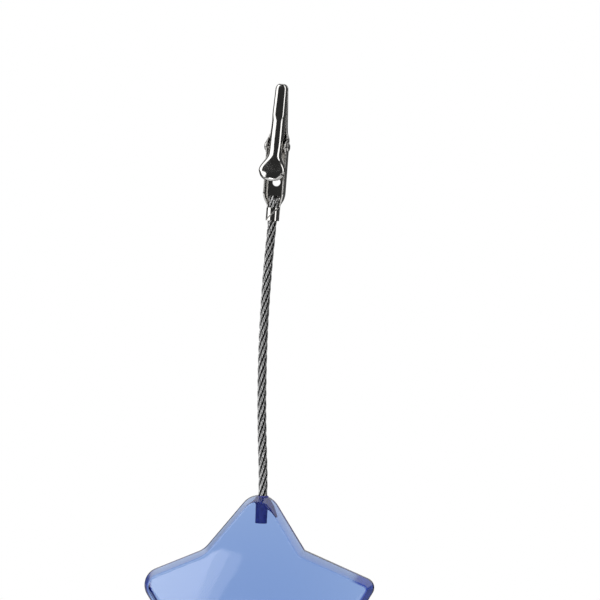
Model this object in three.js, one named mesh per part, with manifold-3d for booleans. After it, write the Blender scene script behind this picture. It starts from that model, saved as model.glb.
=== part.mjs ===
// Memo holder: a clear star that stands on two points, a bent wire rope and a sprung clip.
// Millimetres, +Z up. The origin lies on the table, midway between the two feet.
// The front of the star faces -Y and +X is on the right as seen from the front.

import * as THREE from "three";
import Module from "manifold-3d";

const wasm = await Module();
wasm.setup();

// Star: widest halfway through, with walls that lean in to two slightly crowned faces.
// The two lower points and the three lower notches are even. The upper ones differ from left to right.
const starWidth = 50.3;
const starHeight = 50;
const starThickness = 10;
const starDraft = 14;
const starCrown = 0.8;
const starEdgeRadius = 0.6;
const footCut = 0.9;
const starPointRadius = 3.2;
const starNotchReach = 18.2;
const starNotchRadius = 2;
const topPointRadius = 4.6;
const topPointShift = -0.3;
const leftPointRadius = 4;
const leftPointHeight = 29.4;
const rightPointRadius = 2.2;
const rightPointHeight = 30.8;
const leftNotchTurn = 40;
const leftNotchReach = 19;
const leftNotchRadius = 5.5;
const rightNotchTurn = 33.1;
const rightNotchReach = 18.1;
const rightNotchRadius = 0.9;

// Rope: six strands laid right-handed round a core strand
const ropeDiameter = 2;
const strandGap = 0.06;
const strandCount = 6;
const layLength = 15;
const ropeLeftLength = 7.5;
const ropeLeftBend = -3.8;
const ropeRightLength = 48.2;
const ropeRightBend = 8;
const ropeEndLength = 4;
const ropeEndBend = -1.7;
const ropeStub = 2.6;

// Hole in the top point and the adhesive in it
const holeDepth = 6.2;
const holeOffset = 0.2;
const glueWall = 0.36;
const glueFloor = 0.4;
const fitGap = 0.08;

// Clip: sheet, crimp barrel, tail, ears and jaws, measured up from the foot of the barrel
const sheet = 0.35;
const crimpLength = 2.8;
const crimpGap = 0.1;
const crimpSeam = 16;
const crimpSlant = 55;
const crimpJoint = 0.5;
const crimpStep = 0.03;
const tailStart = 6.2;
const tailCorner = 0.45;
const tailWall = 2.5;
const tailHoleHeight = 8.4;
const tailHoleDiameter = 1.8;
const pivotHeight = 16.1;
const pivotDepth = -0.6;
const clipLength = 29.7;
const clipTurn = -7;
const jawGap = 0.3;
const jawRootWidth = 3.6;
const jawTipWidth = 2.7;
const noseLength = 1.2;
const lowerJawDrop = 0.8;
const upperJawRise = 2.3;
const upperJawTipRise = 0.95;
const jawCorner = 0.75;
const jawCornerHeight = 22.3;
const jawCornerEase = 0.9;

// Thumb pad of the moving jaw
const padEndHeight = 8.6;
const padWideHeight = 10.9;
const padWidth = 5.5;
const padEndWidth = 0.8;
const padLift = 4.9;
const padBend = 0.75;
const padTurn = 65;
const padLip = 0.5;
const padLipWidth = 0.7;
const neckHeight = 14.6;
const neckWall = 1.3;

// Rivet and ears
const rivetRadius = 0.6;
const rivetPlay = 0.08;
const rivetHeadRadius = 1;
const rivetHeadHeight = 0.5;
const rivetHeadGap = 0.06;
const lowerEarWall = 0.8;
const upperEarWall = 0.6;
const earGap = 0.4;

// Torsion spring on the rivet
const springWire = 0.3;
const springGap = 0.45;
const springWholeTurns = 2;
const springPlay = 0.15;
const springSideGap = 0.1;
const springLegLength = 4;
const springLegSpread = 0.6;
const springLegGap = 0.12;

// Sizes that follow from the ones above
const degree = Math.PI / 180;
const ropeRadius = ropeDiameter / 2;
const strandRadius = ropeDiameter / 6 - strandGap / 2;
const strandOrbit = ropeDiameter / 3;
const holeRadius = ropeRadius + glueWall;
const holeFloor = starHeight - holeDepth;
const ropeFoot = holeFloor + fitGap + glueFloor + fitGap;
const barrelMiddle = ropeRadius + crimpGap + sheet / 2;
const springPitch = springWire + springGap;
const springTurns = springWholeTurns + 0.5;
const springStack = springTurns * springPitch + springWire;
const springRadius = rivetRadius + springPlay + springWire / 2;
const upperWidth = springStack + 2 * springSideGap + 2 * sheet;
const lowerWidth = upperWidth + 2 * earGap + 2 * sheet;
const lowerEarRadius = rivetRadius + rivetPlay + lowerEarWall;
const upperEarRadius = rivetRadius + rivetPlay + upperEarWall;
const gripDepth = pivotDepth + 0.3;

function solidOf(geometry) {
  const flat = geometry.index ? geometry.toNonIndexed() : geometry;
  const places = flat.getAttribute("position");
  const mesh = new wasm.Mesh({
    numProp: 3,
    vertProperties: Float32Array.from(places.array),
    triVerts: Uint32Array.from({ length: places.count }, (_, i) => i),
  });
  mesh.merge();
  return new wasm.Manifold(mesh);
}

function geometryOf(solid) {
  const mesh = solid.getMesh();
  const geometry = new THREE.BufferGeometry();
  geometry.setAttribute("position", new THREE.BufferAttribute(new Float32Array(mesh.vertProperties), 3));
  geometry.setIndex(new THREE.BufferAttribute(new Uint32Array(mesh.triVerts), 1));
  return geometry;
}

function cut(geometry, tools) {
  let solid = solidOf(geometry);
  for (const tool of tools) {
    solid = solid.subtract(solidOf(tool));
  }
  return geometryOf(solid);
}

// Skin over a row of rings with equal counts. Each ring turns counter-clockwise seen from the last ring.
// The two end rings are filled as flat outlines, read in the plane that flatten gives.
function skin(rings, flatten) {
  const count = rings[0].length;
  const places = rings.flat().flatMap((p) => [p.x, p.y, p.z]);
  const faces = [];
  for (let i = 0; i + 1 < rings.length; i += 1) {
    for (let j = 0; j < count; j += 1) {
      const a = i * count + j;
      const b = i * count + ((j + 1) % count);
      faces.push(a, b, b + count, a, b + count, a + count);
    }
  }
  fillEnd(rings[0].map(flatten), 0, -1, faces);
  fillEnd(rings[rings.length - 1].map(flatten), (rings.length - 1) * count, 1, faces);
  const geometry = new THREE.BufferGeometry();
  geometry.setAttribute("position", new THREE.Float32BufferAttribute(places, 3));
  geometry.setIndex(faces);
  return geometry;
}

function fillEnd(outline, first, side, faces) {
  for (const [a, b, c] of THREE.ShapeUtils.triangulateShape(outline, [])) {
    const turn = THREE.ShapeUtils.area([outline[a], outline[b], outline[c]]) * side;
    const face = turn > 0 ? [a, b, c] : [a, c, b];
    faces.push(...face.map((k) => first + k));
  }
}

function rod(radius, length, sides) {
  return new THREE.CylinderGeometry(radius, radius, length, sides);
}

function tube(curve, radius, sides, steps) {
  const section = new THREE.Shape();
  for (let i = 0; i < sides; i += 1) {
    const turn = (i / sides) * 2 * Math.PI;
    const x = radius * Math.cos(turn);
    const y = radius * Math.sin(turn);
    if (i === 0) {
      section.moveTo(x, y);
    } else {
      section.lineTo(x, y);
    }
  }
  return new THREE.ExtrudeGeometry(section, { extrudePath: curve, steps, bevelEnabled: false });
}

function named(name, geometry, color, roughness, metalness, opacity = 1) {
  const material = new THREE.MeshStandardMaterial({ color, roughness, metalness });
  material.opacity = opacity;
  material.transparent = opacity < 1;
  const mesh = new THREE.Mesh(geometry, material);
  mesh.name = name;
  return mesh;
}

// Star outline: five point circles and five notch circles, joined by the straight lines that touch both.
// An inset shrinks the point circles and grows the notch circles, so every ring keeps its shape.
const pointAcross = (starWidth / 2 - starPointRadius) / Math.sin(72 * degree);
const pointUp = (starHeight + footCut - 2 * starPointRadius) / (1 + Math.cos(36 * degree));
const starMiddle = starHeight - starPointRadius - pointUp;

function armPlace(turn, share) {
  const x = share * pointAcross * Math.sin(turn * degree);
  const z = starMiddle + share * pointUp * Math.cos(turn * degree);
  return new THREE.Vector2(x, z);
}

function lowerPoint(turn) {
  return { place: armPlace(turn, 1), radius: starPointRadius };
}

function sidePoint(side, height, radius) {
  return { place: new THREE.Vector2(side * (starWidth / 2 - radius), height), radius };
}

function notch(turn, reach, radius) {
  return { place: armPlace(turn, (reach + radius) / pointAcross), radius };
}

const topPlace = new THREE.Vector2(topPointShift, starHeight - topPointRadius);
const starPoints = [
  { place: topPlace, radius: topPointRadius },
  sidePoint(-1, leftPointHeight, leftPointRadius),
  lowerPoint(-144),
  lowerPoint(144),
  sidePoint(1, rightPointHeight, rightPointRadius),
];
const starNotches = [
  notch(-leftNotchTurn, leftNotchReach, leftNotchRadius),
  notch(-108, starNotchReach, starNotchRadius),
  notch(180, starNotchReach, starNotchRadius),
  notch(108, starNotchReach, starNotchRadius),
  notch(rightNotchTurn, rightNotchReach, rightNotchRadius),
];

function starRing(inset, depth, share) {
  const ring = [];
  for (let arm = 0; arm < 5; arm += 1) {
    const point = starPoints[arm];
    const after = starNotches[arm];
    const before = starNotches[(arm + 4) % 5];
    const next = starPoints[(arm + 1) % 5];
    const leaving = touchTurn(point, after, 1);
    const arriving = touchTurn(point, before, -1);
    const nextArriving = touchTurn(next, after, -1);
    sweep(ring, point.place, point.radius - inset, arriving, leaving, 8, 1);
    sweep(ring, after.place, after.radius + inset, leaving + Math.PI, nextArriving + Math.PI, 5, -1);
  }
  const middle = new THREE.Vector2(0, starMiddle);
  return ring.map((p) => {
    const q = p.sub(middle).multiplyScalar(share).add(middle);
    return new THREE.Vector3(q.x, depth * crowned(q), q.y);
  });
}

// How much thicker the star is at a place: most in the middle, none at the distance of the side points
function crowned(place) {
  const out = Math.hypot(place.x, place.y - starMiddle) / (starWidth / 2);
  return 1 + (starCrown / (starThickness / 2)) * (1 - out * out);
}

// Direction of the touching spot on a point circle for the line that crosses over to a notch circle
function touchTurn(point, notch, side) {
  const gap = notch.place.clone().sub(point.place);
  const lean = Math.acos((point.radius + notch.radius) / gap.length());
  return gap.angle() - side * lean;
}

function sweep(ring, centre, radius, from, to, steps, way) {
  let turn = (to - from) % (2 * Math.PI);
  if (way > 0 && turn < 0) {
    turn += 2 * Math.PI;
  }
  if (way < 0 && turn > 0) {
    turn -= 2 * Math.PI;
  }
  for (let i = 0; i <= steps; i += 1) {
    const angle = from + (turn * i) / steps;
    const out = new THREE.Vector2(Math.cos(angle), Math.sin(angle)).multiplyScalar(radius);
    ring.push(out.add(centre));
  }
}

function starBase() {
  const half = starThickness / 2;
  const lean = starDraft * degree;
  const edgeDepth = half - starEdgeRadius;
  const edgeInset = edgeDepth * Math.tan(lean) + starEdgeRadius / Math.cos(lean);
  const rings = [];
  const edgeSteps = 4;
  for (const share of [0.04, 0.3, 0.6, 0.85]) {
    rings.push(starRing(edgeInset, half, share));
  }
  for (let i = 0; i <= edgeSteps; i += 1) {
    const turn = mix(90 * degree, lean, i / edgeSteps);
    const inset = edgeInset - starEdgeRadius * Math.cos(turn);
    rings.push(starRing(inset, edgeDepth + starEdgeRadius * Math.sin(turn), 1));
  }
  const belt = starRing(0, 0, 1);
  const front = rings.map((ring) => ring.map((p) => new THREE.Vector3(p.x, -p.y, p.z)));
  const body = skin([...rings, belt, ...front.reverse()], (p) => new THREE.Vector2(p.x, p.z));
  const hole = rod(holeRadius, 2 * holeDepth, 32);
  hole.rotateX(90 * degree);
  hole.translate(holeOffset, 0, starHeight);
  const table = new THREE.BoxGeometry(2 * starWidth, 4 * starThickness, starHeight);
  table.translate(0, 0, -starHeight / 2);
  return cut(body, [hole, table]);
}

// Middle line of the rope: upright in the hole, a short bend to the left, a long even bend to the right,
// a slight bend back, then straight through the crimp. Each piece is an arc with its turn towards +X.
const ropePieces = [
  { length: starHeight - ropeFoot, turn: 0 },
  { length: ropeLeftLength, turn: ropeLeftBend * degree },
  { length: ropeRightLength, turn: ropeRightBend * degree },
  { length: ropeEndLength, turn: ropeEndBend * degree },
  { length: crimpLength + ropeStub, turn: 0 },
];
const crimpFoot = starHeight - ropeFoot + ropeLeftLength + ropeRightLength + ropeEndLength;
const ropeLength = crimpFoot + crimpLength + ropeStub;

function ropePlace(along) {
  const place = { x: holeOffset, z: ropeFoot, lean: 0 };
  let left = along;
  for (const piece of ropePieces) {
    const step = Math.max(Math.min(left, piece.length), 0);
    const turn = (piece.turn * step) / piece.length;
    const chord = turn === 0 ? step : (2 * step * Math.sin(turn / 2)) / turn;
    place.x += chord * Math.sin(place.lean + turn / 2);
    place.z += chord * Math.cos(place.lean + turn / 2);
    place.lean += turn;
    left -= step;
  }
  return place;
}

class StrandLine extends THREE.Curve {
  constructor(orbit, start) {
    super();
    this.orbit = orbit;
    this.start = start;
  }

  getPoint(t, target = new THREE.Vector3()) {
    const along = t * ropeLength;
    const turn = this.start + (along / layLength) * 2 * Math.PI;
    const across = this.orbit * Math.cos(turn);
    const place = ropePlace(along);
    const x = place.x + across * Math.cos(place.lean);
    const y = this.orbit * Math.sin(turn);
    return target.set(x, y, place.z - across * Math.sin(place.lean));
  }
}

function outerStrand(index) {
  const line = new StrandLine(strandOrbit, (index / strandCount) * 2 * Math.PI);
  return tube(line, strandRadius, 6, Math.round((ropeLength / layLength) * 12));
}

function glueFill() {
  const outer = holeRadius - fitGap;
  const inner = ropeRadius + fitGap;
  const foot = holeFloor + fitGap;
  const rim = starHeight - 2 * fitGap;
  const outline = [
    new THREE.Vector2(0, foot),
    new THREE.Vector2(outer, foot),
    new THREE.Vector2(outer, rim),
    new THREE.Vector2(inner, rim),
    new THREE.Vector2(inner, foot + glueFloor),
    new THREE.Vector2(0, foot + glueFloor),
  ];
  const cup = new THREE.LatheGeometry(outline, 32);
  cup.rotateX(90 * degree);
  cup.translate(holeOffset, 0, 0);
  return geometryOf(solidOf(cup));
}

// Section of a folded strip. From the middle of its back it runs flat, turns on a bend, then stays straight.
// way is 1 for a strip that folds towards the front (-Y) and -1 for one that folds towards the back.
function stripRing(at) {
  const steps = 10;
  const line = [];
  for (const side of [-1, 1]) {
    const turn = (side < 0 ? at.turnLeft : at.turnRight) * degree;
    const half = [];
    for (let i = 0; i <= steps; i += 1) {
      const angle = (turn * i) / steps;
      const x = at.flat + at.bend * Math.sin(angle);
      const y = -at.bend * (1 - Math.cos(angle));
      half.push({ x: side * x, y, nx: side * Math.sin(angle), ny: Math.cos(angle) });
    }
    const last = half[steps];
    const x = last.x + side * at.leg * Math.cos(turn);
    const y = last.y - at.leg * Math.sin(turn);
    half.push({ x, y, nx: last.nx, ny: last.ny });
    line.push(...(side < 0 ? half.reverse() : half));
  }
  const reach = sheet / 2;
  const outer = line.map((p) => new THREE.Vector2(p.x + p.nx * reach, p.y + p.ny * reach));
  const inner = line.map((p) => new THREE.Vector2(p.x - p.nx * reach, p.y - p.ny * reach));
  const ring = [...outer.reverse(), ...inner];
  if (at.way < 0) {
    ring.reverse();
  }
  return ring.map((p) => new THREE.Vector3(p.x, at.back + at.way * p.y + lipDrop(at, p.x), at.height));
}

// How far the rounded end of the thumb pad turns back near its rim
function lipDrop(at, x) {
  if (!at.pad) {
    return 0;
  }
  const down = (padWideHeight - at.height) / (padWideHeight - padEndHeight);
  const out = Math.hypot(x / (padWidth / 2), down);
  const near = 1 - ((1 - out) * (padWideHeight - padEndHeight)) / padLipWidth;
  const share = Math.min(Math.max(near, 0), 1);
  const ease = Math.min(Math.max(down / 0.35, 0), 1);
  return padLip * share * share * ease * ease * (3 - 2 * ease);
}

function strip(stations) {
  return skin(stations.map(stripRing), (p) => new THREE.Vector2(p.x, p.y));
}

// Station of a channel: outer width, depth of its back line and depth that its wall edges reach
function channel(way, height, width, back, edge, corner) {
  const most = Math.min(corner, (width - sheet) / 2 - 0.02, Math.abs(back - edge));
  const round = Math.max(most, sheet / 2 + 0.05);
  const flat = (width - sheet) / 2 - round;
  const leg = Math.max(Math.abs(back - edge) - round, 0.02);
  return { way, height, back, flat, bend: round, turnLeft: 90, turnRight: 90, leg };
}

function rolled(height, radius, turnLeft, turnRight) {
  return { way: 1, height, back: radius, flat: 0.01, bend: radius, turnLeft, turnRight, leg: 0.01 };
}

// Crimp barrel: the strip rolled round the rope, with a seam that climbs from the left to the right
function barrel() {
  const turn = 180 - crimpSeam / 2;
  const stations = [];
  for (let i = 0; i <= 4; i += 1) {
    const slant = mix(-crimpSlant, crimpSlant, i / 4);
    stations.push(rolled((crimpLength * i) / 4, barrelMiddle, turn + slant, turn - slant));
  }
  return strip(stations);
}

function mix(a, b, share) {
  return a + (b - a) * share;
}

function earEdge(height, radius, side, least) {
  const reach = radius * radius - (height - pivotHeight) * (height - pivotHeight);
  const edge = pivotDepth + side * Math.sqrt(Math.max(reach, 0));
  return side < 0 ? Math.min(edge, least) : Math.max(edge, least);
}

function rivetHole(length) {
  const hole = rod(rivetRadius + rivetPlay, length, 32);
  hole.rotateZ(90 * degree);
  hole.translate(0, pivotDepth, pivotHeight);
  return hole;
}

// Fixed half of the clip: tail, ears and lower jaw folded from one strip, with the barrel at its foot
function lowerJaw() {
  const tailEdge = barrelMiddle - tailWall;
  const jawEdge = gripDepth + jawGap / 2;
  const waist = 2 * (barrelMiddle + sheet / 2);
  const stations = [];
  stations.push(rolled(crimpLength - crimpJoint, barrelMiddle + crimpStep, 85, 85));
  stations.push(rolled(crimpLength + crimpJoint / 2, barrelMiddle + crimpStep, 85, 85));
  stations.push(channel(1, mix(crimpLength, tailStart, 0.6), mix(waist, lowerWidth, 0.75), barrelMiddle,
    mix(barrelMiddle - 1.2, tailEdge, 0.75), tailCorner));
  stations.push(channel(1, tailStart, lowerWidth, barrelMiddle, tailEdge, tailCorner));
  const earFoot = pivotHeight - lowerEarRadius - 0.3;
  stations.push(channel(1, earFoot, lowerWidth, barrelMiddle, tailEdge, tailCorner));
  for (let i = -3; i <= 3; i += 1) {
    const height = pivotHeight + lowerEarRadius * Math.sin((i / 3) * 85 * degree);
    const least = i < 0 ? tailEdge : jawEdge;
    const edge = earEdge(height, lowerEarRadius, -1, least);
    stations.push(channel(1, height, lowerWidth, barrelMiddle, edge, tailCorner));
  }
  const jawRoot = pivotHeight + lowerEarRadius + 1.9;
  const noseFoot = clipLength - noseLength;
  const tipBack = barrelMiddle - lowerJawDrop;
  stations.push(channel(1, jawRoot, jawRootWidth, mix(barrelMiddle, tipBack, 0.15), jawEdge, tailCorner));
  for (const share of [0.5, 1]) {
    const height = mix(jawRoot, noseFoot, share);
    const width = mix(jawRootWidth, jawTipWidth, share);
    stations.push(channel(1, height, width, mix(barrelMiddle, tipBack, mix(0.15, 1, share)), jawEdge, tailCorner));
  }
  for (const turn of [35, 62, 80]) {
    const height = noseFoot + noseLength * Math.sin(turn * degree);
    const width = mix(2 * sheet + 0.3, jawTipWidth, Math.cos(turn * degree));
    const back = mix(jawEdge + sheet / 2 + 0.1, tipBack, Math.cos(turn * degree));
    stations.push(channel(1, height, width, back, jawEdge, tailCorner));
  }
  const hole = rod(tailHoleDiameter / 2, 4 * sheet, 24);
  hole.translate(0, barrelMiddle, tailHoleHeight);
  const folded = geometryOf(solidOf(strip(stations)).add(solidOf(barrel())));
  return cut(folded, [rivetHole(2 * lowerWidth), hole]);
}

// Back line of the moving jaw: down from the pivot to the nose, and out from the pivot to the thumb pad
function leverBack(height) {
  const pivotBack = gripDepth - upperJawRise - sheet / 2;
  const tipBack = gripDepth - upperJawTipRise;
  if (height >= pivotHeight) {
    return mix(pivotBack, tipBack, (height - pivotHeight) / (clipLength - noseLength - pivotHeight));
  }
  const share = (pivotHeight - height) / (pivotHeight - padEndHeight);
  return mix(pivotBack, gripDepth - padLift, Math.pow(share, 1.15));
}

function padStation(height, width) {
  const turn = padTurn;
  const round = Math.min(padBend, (width / 2 - 0.05) / Math.sin(turn * degree));
  const flat = width / 2 - round * Math.sin(turn * degree);
  const back = leverBack(height);
  return { way: -1, height, back, flat, bend: round, turnLeft: turn, turnRight: turn, leg: 0.02, pad: true };
}

// Station part of the way from the pad to the neck: the width eases in and out, the fold closes evenly
function between(pad, neck, share) {
  const eased = share * share * (3 - 2 * share);
  const height = mix(pad.height, neck.height, share);
  const turn = mix(pad.turnLeft, neck.turnLeft, eased);
  const flat = mix(pad.flat, neck.flat, eased);
  const padHalf = pad.flat + pad.bend * Math.sin(pad.turnLeft * degree);
  const neckHalf = neck.flat + neck.bend;
  const half = mix(padHalf, neckHalf, eased);
  const round = (half - flat) / Math.sin(turn * degree);
  const leg = mix(pad.leg, neck.leg, eased);
  return { way: -1, height, back: leverBack(height), flat, bend: round, turnLeft: turn, turnRight: turn, leg };
}

// Moving half of the clip: thumb pad, neck, ears and upper jaw, folded from one strip
function upperJaw() {
  const jawEdge = gripDepth - jawGap / 2;
  const stations = [];
  for (const turn of [84, 68, 50, 30, 12]) {
    const height = padWideHeight - (padWideHeight - padEndHeight) * Math.sin(turn * degree);
    stations.push(padStation(height, mix(padEndWidth, padWidth, Math.cos(turn * degree))));
  }
  const round = (upperWidth - sheet) / 2 - 0.05;
  const pad = padStation(padWideHeight, padWidth);
  const neckBack = leverBack(neckHeight);
  const neck = channel(-1, neckHeight, upperWidth, neckBack, neckBack + neckWall, round);
  for (const share of [0, 0.2, 0.4, 0.6, 0.8, 1]) {
    stations.push(between(pad, neck, share));
  }
  for (let i = -3; i <= 3; i += 1) {
    const height = pivotHeight + upperEarRadius * Math.sin((i / 3) * 85 * degree);
    const least = i < 0 ? leverBack(height) + neckWall : jawEdge;
    const edge = earEdge(height, upperEarRadius, 1, least);
    stations.push(channel(-1, height, upperWidth, leverBack(height), edge, round));
  }
  const jawRoot = pivotHeight + upperEarRadius + 0.4;
  const noseFoot = clipLength - noseLength;
  const rootWidth = Math.min(upperWidth, jawRootWidth);
  const cornerHeights = [jawCornerHeight - jawCornerEase, jawCornerHeight + jawCornerEase];
  for (const height of [jawRoot, ...cornerHeights, mix(jawCornerHeight, noseFoot, 0.5), noseFoot]) {
    const width = mix(rootWidth, jawTipWidth, (height - jawRoot) / (noseFoot - jawRoot));
    const corner = height > jawCornerHeight ? jawCorner : round;
    stations.push(channel(-1, height, width, leverBack(height), jawEdge, corner));
  }
  for (const turn of [35, 62, 80]) {
    const height = noseFoot + noseLength * Math.sin(turn * degree);
    const width = mix(2 * sheet + 0.3, jawTipWidth, Math.cos(turn * degree));
    const back = mix(jawEdge - sheet / 2 - 0.1, leverBack(noseFoot), Math.cos(turn * degree));
    stations.push(channel(-1, height, width, back, jawEdge, jawCorner));
  }
  return cut(strip(stations), [rivetHole(2 * lowerWidth)]);
}

function pivotRivet() {
  const shaft = lowerWidth / 2 + rivetHeadGap;
  const outline = [new THREE.Vector2(0, -shaft - rivetHeadHeight)];
  for (const turn of [30, 60, 90]) {
    const x = rivetHeadRadius * Math.sin(turn * degree);
    outline.push(new THREE.Vector2(x, -shaft - rivetHeadHeight * Math.cos(turn * degree)));
  }
  outline.push(new THREE.Vector2(rivetRadius, -shaft));
  const other = outline.map((p) => new THREE.Vector2(p.x, -p.y));
  const rivet = new THREE.LatheGeometry([...outline, ...other.reverse()], 24);
  rivet.rotateZ(-90 * degree);
  rivet.translate(0, pivotDepth, pivotHeight);
  return geometryOf(solidOf(rivet));
}

// Spring line: a leg along the tail floor, the turns on the rivet, a leg under the thumb pad.
// In the plane of height and depth each leg touches the circle of the turns. The legs close in towards their ends.
class SpringLine extends THREE.Curve {
  constructor() {
    super();
    const legHeight = pivotHeight - springLegLength;
    const floorLeg = barrelMiddle - sheet / 2 - springLegGap - springWire / 2;
    const padLeg = leverBack(legHeight) + sheet / 2 + springLegGap + springWire / 2;
    this.first = this.touch(legHeight, floorLeg, 1);
    this.last = this.touch(legHeight, padLeg, -1);
    this.sweep = this.first.turn - this.last.turn + springWholeTurns * 2 * Math.PI;
    this.coil = this.sweep * springRadius;
    this.total = this.first.length + this.coil + this.last.length;
    this.span = springTurns * springPitch;
  }

  touch(height, depth, side) {
    const up = height - pivotHeight;
    const out = depth - pivotDepth;
    const far = Math.hypot(up, out);
    const turn = Math.atan2(out, up) - side * Math.acos(springRadius / far);
    return { height, depth, turn, length: Math.sqrt(far * far - springRadius * springRadius) };
  }

  onCircle(turn, x, target) {
    const y = pivotDepth + springRadius * Math.sin(turn);
    return target.set(x, y, pivotHeight + springRadius * Math.cos(turn));
  }

  getPoint(t, target = new THREE.Vector3()) {
    const along = t * this.total;
    const side = this.span / 2;
    if (along < this.first.length) {
      this.onCircle(this.first.turn, -side, target);
      return this.onLeg(target, this.first, -1, 1 - along / this.first.length);
    }
    const wound = Math.min((along - this.first.length) / this.coil, 1);
    this.onCircle(this.first.turn - wound * this.sweep, side * (2 * wound - 1), target);
    const rest = along - this.first.length - this.coil;
    return rest > 0 ? this.onLeg(target, this.last, 1, rest / this.last.length) : target;
  }

  onLeg(target, leg, way, share) {
    const x = mix(target.x, (way * springLegSpread) / 2, share * share);
    const foot = new THREE.Vector3(0, leg.depth, leg.height);
    return target.lerp(foot, share).setX(x);
  }
}

// Least distance between the wire's surfaces, taken between points that lie more than a half turn apart
function leastGap(line, wire) {
  const count = 400;
  const points = line.getSpacedPoints(count);
  const apart = Math.ceil((Math.PI * springRadius * count) / line.getLength());
  let least = Infinity;
  for (let i = 0; i <= count; i += 1) {
    for (let j = i + apart; j <= count; j += 1) {
      least = Math.min(least, points[i].distanceTo(points[j]));
    }
  }
  return least - wire;
}

const holder = new THREE.Group();
holder.name = "memo_holder";
holder.add(named("star_base", starBase(), 0x6f93d6, 0.08, 0, 0.6));
holder.add(named("glue_fill", glueFill(), 0x3a4a86, 0.4, 0));
holder.add(named("core_strand", tube(new StrandLine(0, 0), strandRadius, 6, 40), 0xa9a8a4, 0.35, 1));
for (let i = 0; i < strandCount; i += 1) {
  holder.add(named(`outer_strand_${i + 1}`, outerStrand(i), 0xb4b3af, 0.35, 1));
}

const springLine = new SpringLine();
const springSteps = Math.round((springLine.total / (2 * Math.PI * springRadius)) * 12);
const clip = new THREE.Group();
clip.name = "clip";
const clipFoot = ropePlace(crimpFoot);
clip.position.set(clipFoot.x, 0, clipFoot.z);
clip.rotation.set(0, clipFoot.lean, clipTurn * degree);
clip.add(named("lower_jaw", lowerJaw(), 0xc9c9c6, 0.12, 1));
clip.add(named("upper_jaw", upperJaw(), 0xd0d0cd, 0.1, 1));
clip.add(named("pivot_rivet", pivotRivet(), 0xc4c4c1, 0.15, 1));
clip.add(named("torsion_spring", tube(springLine, springWire / 2, 5, springSteps), 0x9d9c99, 0.3, 1));
holder.add(clip);

console.log(`torsion spring, least gap to itself: ${leastGap(springLine, springWire).toFixed(3)} mm`);

export default holder;
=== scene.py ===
"""Desk memo holder: a clear blue star, an upright wire rope and a sprung nickel clip.

The shape functions work in millimetres, and a mesh is put down in metres. The frame is that of the
solids: the origin on the table between the two feet, +Z up, the star's front towards -Y.
"""

import math

import bpy
import numpy as np
from mathutils import Matrix


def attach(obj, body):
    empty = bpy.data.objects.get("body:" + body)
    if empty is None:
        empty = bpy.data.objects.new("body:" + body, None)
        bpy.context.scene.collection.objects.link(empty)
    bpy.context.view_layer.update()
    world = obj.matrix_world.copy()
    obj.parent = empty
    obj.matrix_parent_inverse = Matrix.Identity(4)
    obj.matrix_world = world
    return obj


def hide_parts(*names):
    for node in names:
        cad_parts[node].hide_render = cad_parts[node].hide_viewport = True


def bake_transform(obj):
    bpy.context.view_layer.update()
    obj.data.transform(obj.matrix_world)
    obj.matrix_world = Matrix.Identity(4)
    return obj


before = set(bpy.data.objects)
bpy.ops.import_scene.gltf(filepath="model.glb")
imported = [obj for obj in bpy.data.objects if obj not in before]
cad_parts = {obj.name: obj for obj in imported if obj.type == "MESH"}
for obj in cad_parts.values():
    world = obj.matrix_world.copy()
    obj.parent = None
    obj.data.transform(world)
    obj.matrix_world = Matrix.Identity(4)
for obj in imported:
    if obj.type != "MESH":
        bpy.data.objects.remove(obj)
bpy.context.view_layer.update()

bl_info = {
    "name": "Memo holder",
    "version": (1, 0, 0),
    "blender": (4, 5, 0),
    "location": "View3D > Sidebar > Memo holder",
    "description": "Clear star, wire rope and sprung clip, each made from its own sizes",
    "category": "Add Mesh",
}

MM = 0.001
DEGREE = math.pi / 180


def length(name, description, millimetres):
    """A length property with its default given in millimetres."""
    return bpy.props.FloatProperty(
        name=name,
        description=description,
        default=millimetres * MM,
        unit="LENGTH",
        subtype="DISTANCE",
        precision=5,
    )


def angle(name, description, degrees):
    """An angle property with its default given in degrees."""
    return bpy.props.FloatProperty(
        name=name, description=description, default=degrees * DEGREE, unit="ROTATION", subtype="ANGLE"
    )


def amount(name, description, default):
    """A plain number property that is never negative."""
    return bpy.props.FloatProperty(name=name, description=description, default=default, min=0)


def colour(name, description, rgb):
    """A linear colour property."""
    return bpy.props.FloatVectorProperty(
        name=name, description=description, default=rgb, size=3, min=0, max=1, subtype="COLOR"
    )


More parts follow.
